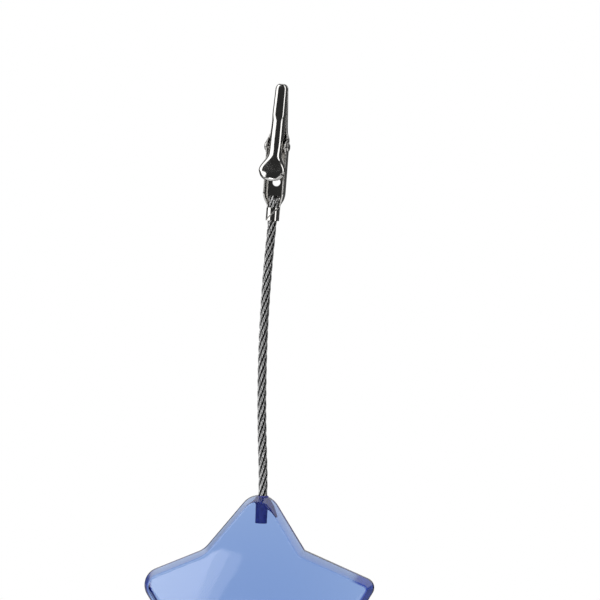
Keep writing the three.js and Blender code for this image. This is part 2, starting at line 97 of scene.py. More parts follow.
class StarSettings(bpy.types.PropertyGroup):
    """Sizes and tint of the clear star."""

    width: length("Width", "Width over the two side points", 50.3)
    height: length("Height", "Height from the feet to the top point", 50)
    thickness: length("Thickness", "Thickness at the edges of the faces", 10)
    draft: angle("Draft", "Lean of the walls from the middle of the thickness to either face", 14)
    crown: length("Crown", "How far each face bulges in the middle", 0.8)
    edge_radius: length("Edge radius", "Rounding between the faces and the walls", 0.6)
    foot_cut: length("Foot cut", "Height taken off the two lower points so that they stand flat", 0.9)
    point_radius: length("Point radius", "Rounding of the two lower points", 3.2)
    notch_reach: length("Notch reach", "Distance of the three lower notches from the middle", 18.2)
    notch_radius: length("Notch radius", "Rounding of the three lower notches", 2)
    top_radius: length("Top radius", "Rounding of the top point", 4.6)
    top_shift: length("Top shift", "Distance of the top point from the middle, to the right", -0.3)
    left_radius: length("Left radius", "Rounding of the left point", 4)
    left_height: length("Left height", "Height of the left point's middle", 29.4)
    right_radius: length("Right radius", "Rounding of the right point", 2.2)
    right_height: length("Right height", "Height of the right point's middle", 30.8)
    left_turn: angle("Left notch turn", "Direction of the upper left notch from upright", 40)
    left_reach: length("Left notch reach", "Distance of the upper left notch from the middle", 19)
    left_notch: length("Left notch radius", "Rounding of the upper left notch", 5.5)
    right_turn: angle("Right notch turn", "Direction of the upper right notch from upright", 33.1)
    right_reach: length("Right notch reach", "Distance of the upper right notch from the middle", 18.1)
    right_notch: length("Right notch radius", "Rounding of the upper right notch", 0.9)
    tint: colour("Tint", "Colour that the plastic lets through", (0.168, 0.415, 0.779))
    depth: amount("Depth", "Strength of the tint per metre", 155.0)
    # Rim: painted shade, a deeper blue painted on the rims of the two side points
    rim: colour("Rim", "Deeper colour of the side points' rims", (0.03, 0.05, 0.36))


class RopeSettings(bpy.types.PropertyGroup):
    """Sizes and colour of the wire rope and of the adhesive that holds it."""

    diameter: length("Diameter", "Diameter over the outer strands", 2)
    lay: length("Lay", "Length in which a strand goes once round the rope", 15)
    wire_lay: length("Wire lay", "Length in which a wire goes once round its strand", 5.2)
    left_length: length("First bend", "Length of the short bend to the left", 7.5)
    right_length: length("Second bend", "Length of the long bend to the right", 48.2)
    end_length: length("Last bend", "Length of the slight bend back below the crimp", 4)
    left_bend: angle("First bend angle", "Turn of the short bend", -3.8)
    right_bend: angle("Second bend angle", "Turn of the long bend", 8)
    end_bend: angle("Last bend angle", "Turn of the slight bend back", -1.7)
    stub: length("Stub", "Length of rope that stands out of the crimp barrel", 2.6)
    fray: length("Fray", "How far the wire ends stand apart", 0.28)
    hole_depth: length("Hole depth", "Depth of the blind hole in the top point", 6.2)
    hole_offset: length("Hole offset", "Distance of the blind hole from the star's middle, to the right", 0.2)
    glue_wall: length("Glue wall", "Thickness of the adhesive round the rope", 0.36)
    steel: colour("Steel", "Colour of the drawn wire", (1.0, 1.0, 1.0))
    glue: colour("Glue", "Colour of the cured adhesive", (0.07, 0.08, 0.33))


class ClipSettings(bpy.types.PropertyGroup):
    """Sizes and colours of the sprung clip."""

    sheet: length("Sheet", "Thickness of the folded sheet", 0.35)
    crimp_length: length("Barrel length", "Length of the crimp barrel", 2.8)
    tail_wall: length("Tail wall", "Depth of the tail's side walls", 2.5)
    hole_height: length("Hole height", "Height of the tail's round hole above the barrel's foot", 8.4)
    hole_diameter: length("Hole diameter", "Diameter of the tail's round hole", 1.8)
    pivot_height: length("Pivot height", "Height of the rivet above the barrel's foot", 16.1)
    total_length: length("Length", "Length from the barrel's foot to the nose", 29.7)
    root_width: length("Jaw root width", "Width of the jaws near the ears", 3.6)
    tip_width: length("Jaw tip width", "Width of the jaws where the nose starts", 2.7)
    pad_width: length("Pad width", "Width of the thumb pad", 5.5)
    pad_end: length("Pad end", "Height of the thumb pad's end above the barrel's foot", 8.6)
    pad_lift: length("Pad lift", "Distance of the pad's end from the grip line", 4.9)
    rivet_radius: length("Rivet radius", "Radius of the rivet's shaft", 0.6)
    head_radius: length("Rivet head radius", "Radius of the rivet's heads", 1)
    spring_wire: length("Spring wire", "Diameter of the spring wire", 0.3)
    turn: angle("Turn", "Turn of the clip about the rope", -7)
    nickel: colour("Nickel", "Colour of the bright plate", (0.72, 0.71, 0.69))
    spring: colour("Spring steel", "Colour of the spring wire", (0.42, 0.41, 0.4))


class StageSettings(bpy.types.PropertyGroup):
    """Camera, floor and light."""

    azimuth: angle("Azimuth", "Camera angle to the right of the front", 5.9)
    pitch: angle("Pitch", "Downward tilt of the camera", 1.6)
    roll: angle("Roll", "Turn of the camera about its line of sight", 1.85)
    distance: length("Distance", "Camera distance from the star's top point", 800)
    floor: colour("Floor", "Colour of the floor near the object", (0.86, 0.86, 0.86))
    key: amount("Key", "Radiance of the left soft box", 1.7)
    fill: amount("Fill", "Radiance of the right soft box", 1.7)
    low: amount("Low", "Radiance of the three low front boxes together", 4.3)
    backdrop: amount("Backdrop", "Level of the backdrop in polished faces", 0.7)
    ambient: amount("Ambient", "Even light from all round", 0.45)


# Fixed clearances and small sizes in millimetres, the same as in the solids
FIT_GAP = 0.08
GLUE_FLOOR = 0.4
CRIMP_GAP = 0.1
CRIMP_SEAM = 16
CRIMP_SLANT = 55
CRIMP_JOINT = 0.5
CRIMP_STEP = 0.03
TAIL_START = 6.2
TAIL_CORNER = 0.45
PIVOT_DEPTH = -0.6
GRIP_DEPTH = PIVOT_DEPTH + 0.3
JAW_GAP = 0.3
NOSE = 1.2
NOSE_WIDTH = 0.3
NOSE_DEPTH = 0.1
LOWER_DROP = 0.8
UPPER_RISE = 2.3
UPPER_TIP_RISE = 0.95
PAD_WIDE = 10.9
PAD_END_WIDTH = 0.8
PAD_BEND = 0.75
PAD_TURN = 65
PAD_LIP = 0.5
PAD_LIP_WIDTH = 0.7
JAW_CORNER = 0.75
JAW_CORNER_HEIGHT = 22.3
JAW_CORNER_EASE = 0.9
NECK = 14.6
NECK_WALL = 1.3
RIVET_PLAY = 0.08
HEAD_HEIGHT = 0.5
HEAD_GAP = 0.06
LOWER_EAR = 0.8
UPPER_EAR = 0.6
EAR_GAP = 0.4
SPRING_GAP = 0.45
SPRING_TURNS = 2
SPRING_PLAY = 0.15
SPRING_SIDE = 0.1
SPRING_LEG = 4
SPRING_SPREAD = 0.6
SPRING_LEG_GAP = 0.12

# Where sheets and ears start and how they open, in millimetres, degrees and shares
CRIMP_OPEN = 85
FLARE = 0.75
FLARE_RISE = 0.6
FLARE_DEPTH = 1.2
EAR_FOOT = 0.3
LOWER_ROOT = 1.9
UPPER_ROOT = 0.4
ROOT_DROP = 0.15
ARCH_PLAY = 0.05

# Small sizes of the meshes alone: millimetres, shares, powers and the seed of the frayed ends. Wires at
# the clip's back wall spread less.
POLE_SHARE = 0.02
LIP_ROUND = 0.7
FRAY_DRIFT = np.array([1.0, 0.35, 0.0])
FRAY_BACK = 0.3
FRAY_HELD = 0.1
WIRE_ENDS = 0.9
FRAY_START = 0.4
FRAY_OUT = 0.55
GLUE_SOFT = 0.12
GLUE_LIP = 0.1
PUNCH_WIDTH = 0.32
PUNCH_DEPTH = 0.12
AXIS_HOLE = 0.001
LIP_EASE = 0.35
PAD_CURVE = 1.15
DOME_POWER = 0.8
HEAD_LAND = 0.97
CUTTER_SPARE = 1
FRAY_SEED = 7

# Least sizes that keep a sheet's section open, in millimetres
LEAST_FLAT = 0.02
LEAST_BEND = 0.05
ROLLED_FLAT = 0.01

# Least and most roughness of each metal finish
PLATE_ROUGH = (0.05, 0.13)
RIVET_ROUGH = (0.1, 0.22)
ROPE_ROUGH = (0.07, 0.16)
SPRING_ROUGH = (0.2, 0.38)

# A wire's surface map: how far the maps of two wires lie apart, and its length per millimetre
UV_APART = 3.7
UV_SCALE = 0.1

# Degrees of turn above which an edge stays crisp, on sheet and on wire
SHARP = 38
WIRE_SHARP = 60

# Where the painted shade on the side points' rims starts and how far it fades, as shares of the star's half
# width
LEFT_RIM_SHADE = 0.88
RIGHT_RIM_SHADE = 0.8
RIM_SHADE_FADE = 0.07


def settings(name):
    """One of the scene's four settings groups."""
    return getattr(bpy.context.scene, f"memo_{name}")


def mm(group, *names):
    """Lengths of a settings group in millimetres."""
    values = [getattr(group, name) / MM for name in names]
    return values[0] if len(values) == 1 else values


def mix(a, b, share):
    """The value that lies a share of the way from a to b."""
    return a + (b - a) * share


def smooth(share):
    """An eased share: flat at 0 and at 1, steepest halfway."""
    share = np.clip(share, 0, 1)
    return share * share * (3 - 2 * share)


def unit(vectors):
    """Vectors scaled to length 1 along the last axis."""
    return vectors / np.maximum(np.linalg.norm(vectors, axis=-1, keepdims=True), 1e-12)


def eased(knots, values, at):
    """A curve through the knots without overshoot: cubic pieces whose slopes are weighted harmonic means."""
    step = np.diff(knots)[:, None]
    slope = np.diff(values, axis=0) / step
    ahead, behind = slope[1:], slope[:-1]
    first, second = 2 * step[1:] + step[:-1], step[1:] + 2 * step[:-1]
    same = ahead * behind > 0
    safe_ahead, safe_behind = np.where(same, ahead, 1), np.where(same, behind, 1)
    middle = np.where(same, (first + second) / (first / safe_behind + second / safe_ahead), 0)
    lean = np.concatenate([slope[:1], middle, slope[-1:]])
    k = np.clip(np.searchsorted(knots, at) - 1, 0, len(knots) - 2)
    h = step[k]
    t = ((at - knots[k]) / h[:, 0])[:, None]
    rise = 3 * t**2 - 2 * t**3
    bow_in, bow_out = t**3 - 2 * t**2 + t, t**3 - t**2
    return values[k] + (values[k + 1] - values[k]) * rise + h * (lean[k] * bow_in + lean[k + 1] * bow_out)


def ring_faces(rows, count, first=0):
    """Quads between neighbouring rings of equal count, each ring closed on itself."""
    i, j = np.meshgrid(np.arange(rows - 1), np.arange(count), indexing="ij")
    a = first + i * count + j
    b = first + i * count + (j + 1) % count
    return np.stack([a, b, b + count, a + count], axis=-1).reshape(-1, 4)


def ring_ends(rows, count):
    """One face on the first ring and one on the last."""
    first = np.arange(count)
    return np.stack([first[::-1], first + (rows - 1) * count])


def signed_volume(points, faces):
    """Six times the volume inside faces of equal count, as a sum of corner products.

    It is negative if the faces point inwards."""
    p = points[faces]
    return np.sum(np.cross(p[:, 1:-1], p[:, 2:]) * p[:, :1])


def mesh_object(name, points, quads, others, uv=None, sharp=SHARP):
    """An object at the origin from points in millimetres, quads and other faces, facing outwards.

    uv gives one place per corner of the quads. Edges that turn more than sharp degrees stay crisp."""
    outwards = signed_volume(points, quads) + signed_volume(points, others) >= 0
    order = slice(None, None, 1 if outwards else -1)
    mesh = bpy.data.meshes.new(name)
    mesh.from_pydata((points * MM).tolist(), [], quads[:, order].tolist() + others[:, order].tolist())
    if uv is not None:
        corners = np.zeros((len(mesh.loops), 2))
        corners[: uv.size // 2] = uv[:, order].reshape(-1, 2)
        mesh.uv_layers.new(name="Surface").data.foreach_set("uv", corners.ravel())
    mesh.polygons.foreach_set("use_smooth", np.ones(len(mesh.polygons), dtype=bool))
    mesh.set_sharp_from_angle(angle=sharp * DEGREE)
    mesh.update()
    obj = bpy.data.objects.new(name, mesh)
    bpy.context.scene.collection.objects.link(obj)
    return obj


def place(obj, body, slot, material, *nodes):
    """Lets a piece stand for its solids, ride on its body and wear its finish."""
    obj.data.materials.append(material)
    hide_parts(*nodes)
    if body:
        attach(obj, body)


def tubes(lines, reference, radius, sides):
    """Round tubes along several lines of equal count.

    At each point of a line, a circle stands square to the line: centre + radius (cos a . n + sin a . b).
    There n is the reference direction with the part along the line taken out, and b is square to both.
    Ends close on a point."""
    count, steps, _ = lines.shape
    along = unit(np.gradient(lines, axis=1))
    n = unit(reference - along * np.sum(reference * along, axis=-1, keepdims=True))
    b = np.cross(along, n)
    turn = np.arange(sides) / sides * 2 * np.pi
    circle = np.cos(turn)[:, None] * n[:, :, None, :] + np.sin(turn)[:, None] * b[:, :, None, :]
    rings = lines[:, :, None, :] + radius * circle
    body = rings.reshape(-1, 3)
    ends = np.concatenate([lines[:, 0], lines[:, -1]])
    points = np.concatenate([body, ends])
    one = ring_faces(steps, sides)
    quads = (np.arange(count)[:, None, None] * steps * sides + one).reshape(-1, 4)
    tube = np.arange(count)[:, None]
    start, centre = tube * steps * sides, len(body) + tube
    tail = start + (steps - 1) * sides
    j = np.arange(sides)
    k = (j + 1) % sides
    foot = np.stack(np.broadcast_arrays(start + k, start + j, centre), -1)
    top = np.stack(np.broadcast_arrays(tail + j, tail + k, centre + count), -1)
    step = np.linalg.norm(np.diff(lines, axis=1), axis=-1)
    run = np.concatenate([np.zeros((count, 1)), np.cumsum(step, axis=1)], axis=1)
    i, jj = np.meshgrid(np.arange(steps - 1), j, indexing="ij")
    u = np.stack([jj, jj + 1, jj + 1, jj], -1).reshape(-1, 4) / sides
    v = run[:, np.stack([i, i, i + 1, i + 1], -1).reshape(-1, 4)]
    uv = np.stack([u + tube[:, :, None] * UV_APART, v * UV_SCALE], -1).reshape(-1, 4, 2)
    return points, quads, np.concatenate([foot.reshape(-1, 3), top.reshape(-1, 3)]), uv


# Star


def star_outline(star, inset, arc=28, line=14):
    """Outline of the star at an inset, as x and z.

    Five point circles alternate with five notch circles. The lower ones lie on two stretched five-fold
    rings, and the upper ones have places of their own. A straight line that touches both joins each to
    the next. An inset makes the point circles smaller and the notch circles larger by the same amount."""
    width, height, point, cut = mm(star, "width", "height", "point_radius", "foot_cut")
    top = mm(star, "top_radius")
    across = (width / 2 - point) / math.sin(72 * DEGREE)
    up = (height + cut - 2 * point) / (1 + math.cos(36 * DEGREE))
    middle = np.array([0.0, height - point - up])

    def spot(turn, share):
        """A place on the stretched ring, from its turn off upright and its share of the ring's size."""
        return middle + share * np.array([across * math.sin(turn), up * math.cos(turn)])

    def side(way, rise, radius):
        """Circle of a side point, which reaches the star's full width."""
        return np.array([way * (width / 2 - radius), rise]), radius

    def notch(turn, reach, radius):
        """Circle of a notch, whose inmost place lies at a reach from the middle."""
        return spot(turn, (reach + radius) / across), radius

    even = mm(star, "notch_reach", "notch_radius")
    points = [(np.array([mm(star, "top_shift"), height - top]), top)]
    points += [side(-1, *mm(star, "left_height", "left_radius"))]
    points += [(spot(way * 144 * DEGREE, 1), point) for way in (-1, 1)]
    points += [side(1, *mm(star, "right_height", "right_radius"))]
    notches = [notch(-star.left_turn, *mm(star, "left_reach", "left_notch"))]
    notches += [notch(turn * DEGREE, *even) for turn in (-108, 180, 108)]
    notches += [notch(star.right_turn, *mm(star, "right_reach", "right_notch"))]

    def touch(circle, other, way):
        """Direction to the place where a line that crosses between two circles touches the first."""
        gap = other[0] - circle[0]
        return math.atan2(gap[1], gap[0]) - way * math.acos((circle[1] + other[1]) / np.hypot(*gap))

    def arc_of(centre, radius, start, end, way):
        """Places on a circle from one direction to another, turning one way."""
        turn = (end - start) * way % (2 * np.pi) * way
        a = start + turn * np.linspace(0, 1, arc)
        return centre + radius * np.stack([np.cos(a), np.sin(a)], 1)

    arcs = []
    earlier, later = notches[-1:] + notches[:-1], points[1:] + points[:1]
    for here, after, before, following in zip(points, notches, earlier, later):
        leave, arrive = touch(here, after, 1), touch(here, before, -1)
        arcs.append(arc_of(here[0], here[1] - inset, arrive, leave, 1))
        away = touch(following, after, -1) + np.pi
        arcs.append(arc_of(after[0], after[1] + inset, leave + np.pi, away, -1))
    share = np.linspace(0, 1, line + 2)[1:-1, None]
    joined = [np.concatenate([a, mix(a[-1], b[0], share)]) for a, b in zip(arcs, arcs[1:] + arcs[:1])]
    return np.concatenate(joined), middle


def star_surface(star, edge_steps=10, crown_steps=14, wall_steps=5):
    """Star surface: its outline carried from the middle of the back, over the rim, to that of the front.

    On a face the outline shrinks to the middle by a share. Round the edge, with t from 90 degrees to the
    draft, the inset is that of the edge's centre less r cos t and the depth edge + r sin t. The wall leans
    out to the belt at depth 0. Then all depths grow by a dome, 1 + crown / half (1 - distance squared).
    What lies below the table is set level with it. The last value is 1 on the rims of the two side points
    and 0 elsewhere: the mask of the painted shade on those rims."""
    half, crown, radius = mm(star, "thickness") / 2, mm(star, "crown"), mm(star, "edge_radius")
    edge = half - radius
    inset = edge * math.tan(star.draft) + radius / math.cos(star.draft)
    inner, middle = star_outline(star, inset)
    share = np.linspace(POLE_SHARE, 1, crown_steps)[:-1]
    face = middle + share[:, None, None] * (inner - middle)
    turn = np.linspace(np.pi / 2, star.draft, edge_steps)
    low = np.linspace(1, 0, wall_steps + 1)[1:]
    start = edge + radius * math.sin(star.draft)
    insets = np.concatenate([inset - radius * np.cos(turn), start * low * math.tan(star.draft)])
    depth = np.concatenate([np.full(len(share), half), edge + radius * np.sin(turn), start * low])
    flat = np.concatenate([face, np.stack([star_outline(star, float(i))[0] for i in insets])])
    flat = np.concatenate([flat, flat[-2::-1]])
    depth = np.concatenate([depth, -depth[-2::-1]])
    rows, count = flat.shape[:2]
    out = np.linalg.norm(flat - middle, axis=-1) / (mm(star, "width") / 2)
    y = depth[:, None] * (1 + crown / half * (1 - out**2))
    points = np.stack([flat[..., 0], y, np.maximum(flat[..., 1], 0)], -1).reshape(-1, 3)
    poles = np.array([[middle[0], half + crown, middle[1]], [middle[0], -half - crown, middle[1]]])
    band = np.concatenate([np.zeros(len(share)), smooth(np.linspace(0, 2, edge_steps)), np.ones(wall_steps)])
    band = np.concatenate([band, band[-2::-1]])
    x = flat[..., 0] / (mm(star, "width") / 2)
    # Mask of the painted shade on the rims of the two side points
    rim = band[:, None] * np.maximum(smooth((-x - LEFT_RIM_SHADE) / RIM_SHADE_FADE), smooth((x - RIGHT_RIM_SHADE) / RIM_SHADE_FADE))
    j = np.arange(count)
    k = (j + 1) % count
    last = (rows - 1) * count
    back = np.stack([k, j, np.full(count, len(points))], -1)
    front = np.stack([last + j, last + k, np.full(count, len(points) + 1)], -1)
    faces = ring_faces(rows, count), np.concatenate([back, front])
    return np.concatenate([points, poles]), *faces, np.append(rim.ravel(), [0, 0])


# Rope


def rope_foot(star, rope):
    """Height at which the rope starts, on the adhesive's floor in the blind hole."""
    return mm(star, "height") - mm(rope, "hole_depth") + 2 * FIT_GAP + GLUE_FLOOR


def rope_pieces(star, rope, clip):
    """The rope's pieces as length and turn: upright in the hole, two bends, a slight bend back, straight."""
    inside = mm(star, "height") - rope_foot(star, rope)
    end = mm(clip, "crimp_length") + mm(rope, "stub")
    left, right, last = mm(rope, "left_length", "right_length", "end_length")
    bends = [(left, rope.left_bend), (right, rope.right_bend), (last, rope.end_bend)]
    return [(inside, 0.0), *bends, (end, 0.0)]


def rope_axis(star, rope, clip, along):
    """Middle line of the rope at distances along it: x, z and lean.

    Each piece is an arc. Its chord has the length s sin(t/2) / (t/2) and points along the lean plus t/2."""
    x, z = np.full(along.shape, mm(rope, "hole_offset")), np.full(along.shape, rope_foot(star, rope))
    lean = np.zeros(along.shape)
    left = along.copy()
    for piece, bend in rope_pieces(star, rope, clip):
        step = np.clip(left, 0, piece)
        turn = bend * step / piece
        chord = step * np.sinc(turn / (2 * np.pi))
        x, z, lean = x + chord * np.sin(lean + turn / 2), z + chord * np.cos(lean + turn / 2), lean + turn
        left = left - step
    return x, z, lean


def strand_wires(star, rope, clip, index, random, steps=260):
    """Middle lines of one strand's seven wires, the direction from the rope's middle to it, and that middle.

    A strand circles the rope's middle line at a third of the diameter, once per lay. Its outer wires circle
    the strand the other way round at a ninth, once per wire lay. Above the crimp the wires drift apart and
    end at different heights. The strand of index -1 stays in the middle."""
    pieces = rope_pieces(star, rope, clip)
    total = sum(piece for piece, _ in pieces)
    diameter, lay, wire_lay, fray = mm(rope, "diameter", "lay", "wire_lay", "fray")
    short = random.uniform(0, WIRE_ENDS, 7)
    along = np.linspace(0, 1, steps)[None, :] * (total - short)[:, None]
    x, z, lean = rope_axis(star, rope, clip, along)
    across = np.stack([np.cos(lean), np.zeros_like(lean), -np.sin(lean)], -1)
    back = np.broadcast_to(np.array([0.0, 1.0, 0.0]), across.shape)
    turn = index / 6 * 2 * np.pi + along / lay * 2 * np.pi
    out = np.cos(turn)[..., None] * across + np.sin(turn)[..., None] * back
    side = -np.sin(turn)[..., None] * across + np.cos(turn)[..., None] * back
    orbit = 0.0 if index < 0 else diameter / 3
    wire = np.arange(7)
    spin = wire[:, None] / 6 * 2 * np.pi - along / wire_lay * 2 * np.pi
    reach = np.where(wire == 6, 0.0, diameter / 9)[:, None]
    offset = reach[..., None] * (np.cos(spin)[..., None] * out + np.sin(spin)[..., None] * side)
    end = mm(rope, "stub") + FRAY_START
    loose = smooth((along - (total - end)) / end)
    drift = random.uniform(-1, 1, (7, 1, 3)) * FRAY_DRIFT
    drift = drift + out * FRAY_OUT * np.where(out[..., 1:2] > FRAY_BACK, FRAY_HELD, 1.0)
    axis = np.stack([x, np.zeros_like(x), z], -1)
    return axis + orbit * out + offset + drift * (fray * loose**2)[..., None], out, axis


def glue_profile(star, rope):
    """Outline of the adhesive cup as radius and height, turned once round the rope."""
    outer = mm(rope, "diameter") / 2 + mm(rope, "glue_wall") - FIT_GAP
    inner = mm(rope, "diameter") / 2 + FIT_GAP
    foot = mm(star, "height") - mm(rope, "hole_depth") + FIT_GAP
    rim = mm(star, "height") - 2 * FIT_GAP
    t = np.linspace(0, 90, 6) * DEGREE
    heel = np.stack([outer - GLUE_SOFT * (1 - np.sin(t)), foot + GLUE_SOFT * (1 - np.cos(t))], 1)
    lip = [[outer, rim - GLUE_LIP], [mix(inner, outer, 0.5), rim], [inner, rim - GLUE_LIP]]
    floor = [[inner, foot + GLUE_FLOOR], [AXIS_HOLE, foot + GLUE_FLOOR]]
    return np.concatenate([[[AXIS_HOLE, foot]], heel, lip, floor])


def turned(profile, sides):
    """A closed body of revolution: each radius and height of the profile goes once round the axis."""
    turn = np.arange(sides) / sides * 2 * np.pi
    ring = np.stack([np.cos(turn), np.sin(turn)], 1)
    height = np.broadcast_to(profile[:, 1:, None], (len(profile), sides, 1))
    rings = np.concatenate([profile[:, :1, None] * ring, height], -1)
    return rings.reshape(-1, 3), ring_faces(len(profile), sides), ring_ends(len(profile), sides)


# Clip


class ClipShape:
    """Sizes of the clip that follow from its settings, in millimetres."""

    def __init__(self):
        star, rope, clip = settings("star"), settings("rope"), settings("clip")
        self.sheet, self.crimp, self.wall = mm(clip, "sheet", "crimp_length", "tail_wall")
        self.pivot, self.total = mm(clip, "pivot_height", "total_length")
        self.root, self.tip = mm(clip, "root_width", "tip_width")
        self.pad, self.pad_end, self.pad_lift = mm(clip, "pad_width", "pad_end", "pad_lift")
        self.rivet, self.head, self.wire = mm(clip, "rivet_radius", "head_radius", "spring_wire")
        self.barrel = mm(rope, "diameter") / 2 + CRIMP_GAP + self.sheet / 2
        self.pitch = self.wire + SPRING_GAP
        self.span = (SPRING_TURNS + 0.5) * self.pitch
        self.coil = self.rivet + SPRING_PLAY + self.wire / 2
        self.upper = self.span + self.wire + 2 * SPRING_SIDE + 2 * self.sheet
        self.lower = self.upper + 2 * EAR_GAP + 2 * self.sheet
        self.lower_ear = self.rivet + RIVET_PLAY + LOWER_EAR
        self.upper_ear = self.rivet + RIVET_PLAY + UPPER_EAR
        total = sum(piece for piece, _ in rope_pieces(star, rope, clip)[:4])
        x, z, lean = (float(value[0]) for value in rope_axis(star, rope, clip, np.array([total])))
        self.foot = np.array([x, 0.0, z])
        c, s, ct, st = math.cos(lean), math.sin(lean), math.cos(clip.turn), math.sin(clip.turn)
        tilt = np.array([[c, 0, s], [0, 1, 0], [-s, 0, c]])
        self.turn = tilt @ np.array([[ct, -st, 0], [st, ct, 0], [0, 0, 1]])

    def out(self, points):
        """Points of the clip's own frame, put into the object's frame."""
        return self.foot + points @ self.turn.T

    def channel(self, height, width, back, edge, corner):
        """Station of a channel: height, back line, flat, bend, left turn, right turn, leg."""
        deep, half = abs(back - edge), (width - self.sheet) / 2
        bend = max(min(corner, half - LEAST_FLAT, deep), self.sheet / 2 + LEAST_BEND)
        return [height, back, half - bend, bend, 90, 90, max(deep - bend, LEAST_FLAT)]

    def rolled(self, height, radius, left, right):
        """Station of a strip rolled to a radius through the left and right turns."""
        return [height, radius, ROLLED_FLAT, radius, left, right, ROLLED_FLAT]

    def ears(self, side, radius, width, back, below, above, corner):
        """Stations of two ears: round about the pivot, and at least as deep as the walls below and above.

        back and below give a depth for a height."""
        rows = []
        for turn in np.linspace(-85, 85, 15):
            height = self.pivot + radius * math.sin(turn * DEGREE)
            round_edge = PIVOT_DEPTH + side * math.sqrt(max(radius**2 - (height - self.pivot) ** 2, 0))
            edge = side * max(side * round_edge, side * (below(height) if turn < 0 else above))
            rows.append(self.channel(height, width, back(height), edge, corner))
        return rows

    def nose(self, side, back, edge, corner):
        """Stations of a round nose: width and depth shrink with the cosine, height grows with the sine."""
        tip = edge + side * (self.sheet / 2 + NOSE_DEPTH)
        rows = []
        for turn in np.linspace(12, 82, 8) * DEGREE:
            width = mix(2 * self.sheet + NOSE_WIDTH, self.tip, math.cos(turn))
            height = self.total - NOSE + NOSE * math.sin(turn)
            rows.append(self.channel(height, width, mix(tip, back, math.cos(turn)), edge, corner))
        return rows

    def lever_back(self, height):
        """Back line of the moving jaw: down from the pivot to the nose, out from the pivot to the pad."""
        at_pivot = GRIP_DEPTH - UPPER_RISE - self.sheet / 2
        if height >= self.pivot:
            share = (height - self.pivot) / (self.total - NOSE - self.pivot)
            return mix(at_pivot, GRIP_DEPTH - UPPER_TIP_RISE, share)
        share = (self.pivot - height) / (self.pivot - self.pad_end)
        return mix(at_pivot, GRIP_DEPTH - self.pad_lift, share**PAD_CURVE)

    def pad_station(self, height, width):
        """Station of the thumb pad: flat, with its two sides rolled down."""
        sine = math.sin(PAD_TURN * DEGREE)
        bend = min(PAD_BEND, (width / 2 - LEAST_BEND) / sine)
        flat = width / 2 - bend * sine
        return [height, self.lever_back(height), flat, bend, PAD_TURN, PAD_TURN, LEAST_FLAT]

    def lip_drop(self, x, height):
        """How far the pad's rounded end turns back: the square of the share of the rim's width, eased in."""
        run = PAD_WIDE - self.pad_end
        down = (PAD_WIDE - height) / run
        near = 1 - (1 - np.hypot(x / (self.pad / 2), down)) * run / PAD_LIP_WIDTH
        return np.where(down > 0, PAD_LIP * np.clip(near, 0, 1) ** 2 * smooth(down / LIP_EASE), 0)

    def neck_station(self, pad, neck, share):
        """Station part of the way from the pad to the neck: the width eases, the fold closes evenly."""
        part = float(smooth(share))
        height = mix(pad[0], neck[0], share)
        flat, turn, leg = (mix(pad[k], neck[k], part) for k in (2, 4, 6))
        half = mix(pad[2] + pad[3] * math.sin(pad[4] * DEGREE), neck[2] + neck[3], part)
        bend = (half - flat) / math.sin(turn * DEGREE)
        return [height, self.lever_back(height), flat, bend, turn, turn, leg]


def strip_surface(shape, stations, way, rows, arc=14, lip=5, drop=None):
    """A folded strip: its section carried up through the stations.

    From the middle of its back the section's middle line runs flat, turns on a bend of even radius, then
    stays straight. The strip lies half a sheet to either side of the line, and its two long edges are
    rounded over. way is 1 for a back that faces away from the front, and -1 for one that faces it."""
    table = np.array(stations)
    at = np.unique(np.concatenate([table[:, 0], np.linspace(table[0, 0], table[-1, 0], rows)]))
    height, back, flat, bend, left, right, leg = eased(table[:, 0], table, at).T
    half = shape.sheet / 2
    line, normal = [], []
    for side, turn in ((-1, left), (1, right)):
        a = turn[:, None] * DEGREE * np.linspace(0, 1, arc)
        x = flat[:, None] + bend[:, None] * np.sin(a)
        y = -bend[:, None] * (1 - np.cos(a))
        n = np.stack([side * np.sin(a), np.cos(a)], -1)
        end = a[:, -1:]
        run = leg[:, None] * np.linspace(0, 1, 5)[1:]
        x = np.concatenate([x, x[:, -1:] + run * np.cos(end)], 1)
        y = np.concatenate([y, y[:, -1:] - run * np.sin(end)], 1)
        n = np.concatenate([n, np.repeat(n[:, -1:], 4, 1)], 1)
        p = np.stack([side * x, y], -1)
        line.append(p[:, ::-1] if side < 0 else p)
        normal.append(n[:, ::-1] if side < 0 else n)
    line, normal = np.concatenate(line, 1), np.concatenate(normal, 1)
    over = np.linspace(0, 180, lip + 2)[1:-1] * DEGREE

    def edge(k, way_out):
        """Rounded long edge at place k of the line: half a turn from one face to the other."""
        along = way_out * np.stack([normal[:, k, 1], -normal[:, k, 0]], -1)
        across, out = np.cos(over)[:, None] * normal[:, k, None], np.sin(over)[:, None] * along[:, None]
        return line[:, k, None] + half * (across + LIP_ROUND * out)

    right_lip, left_lip = edge(-1, 1), edge(0, -1)[:, ::-1]
    ring = np.concatenate([line + half * normal, right_lip, (line - half * normal)[:, ::-1], left_lip], 1)
    levels = np.broadcast_to(height[:, None], ring.shape[:2])
    points = np.stack([ring[..., 0], back[:, None] + way * ring[..., 1], levels], -1)
    if drop is not None:
        points[..., 1] += drop(points[..., 0], levels)
    size = ring.shape[:2]
    return shape.out(points.reshape(-1, 3)), ring_faces(*size), ring_ends(*size)


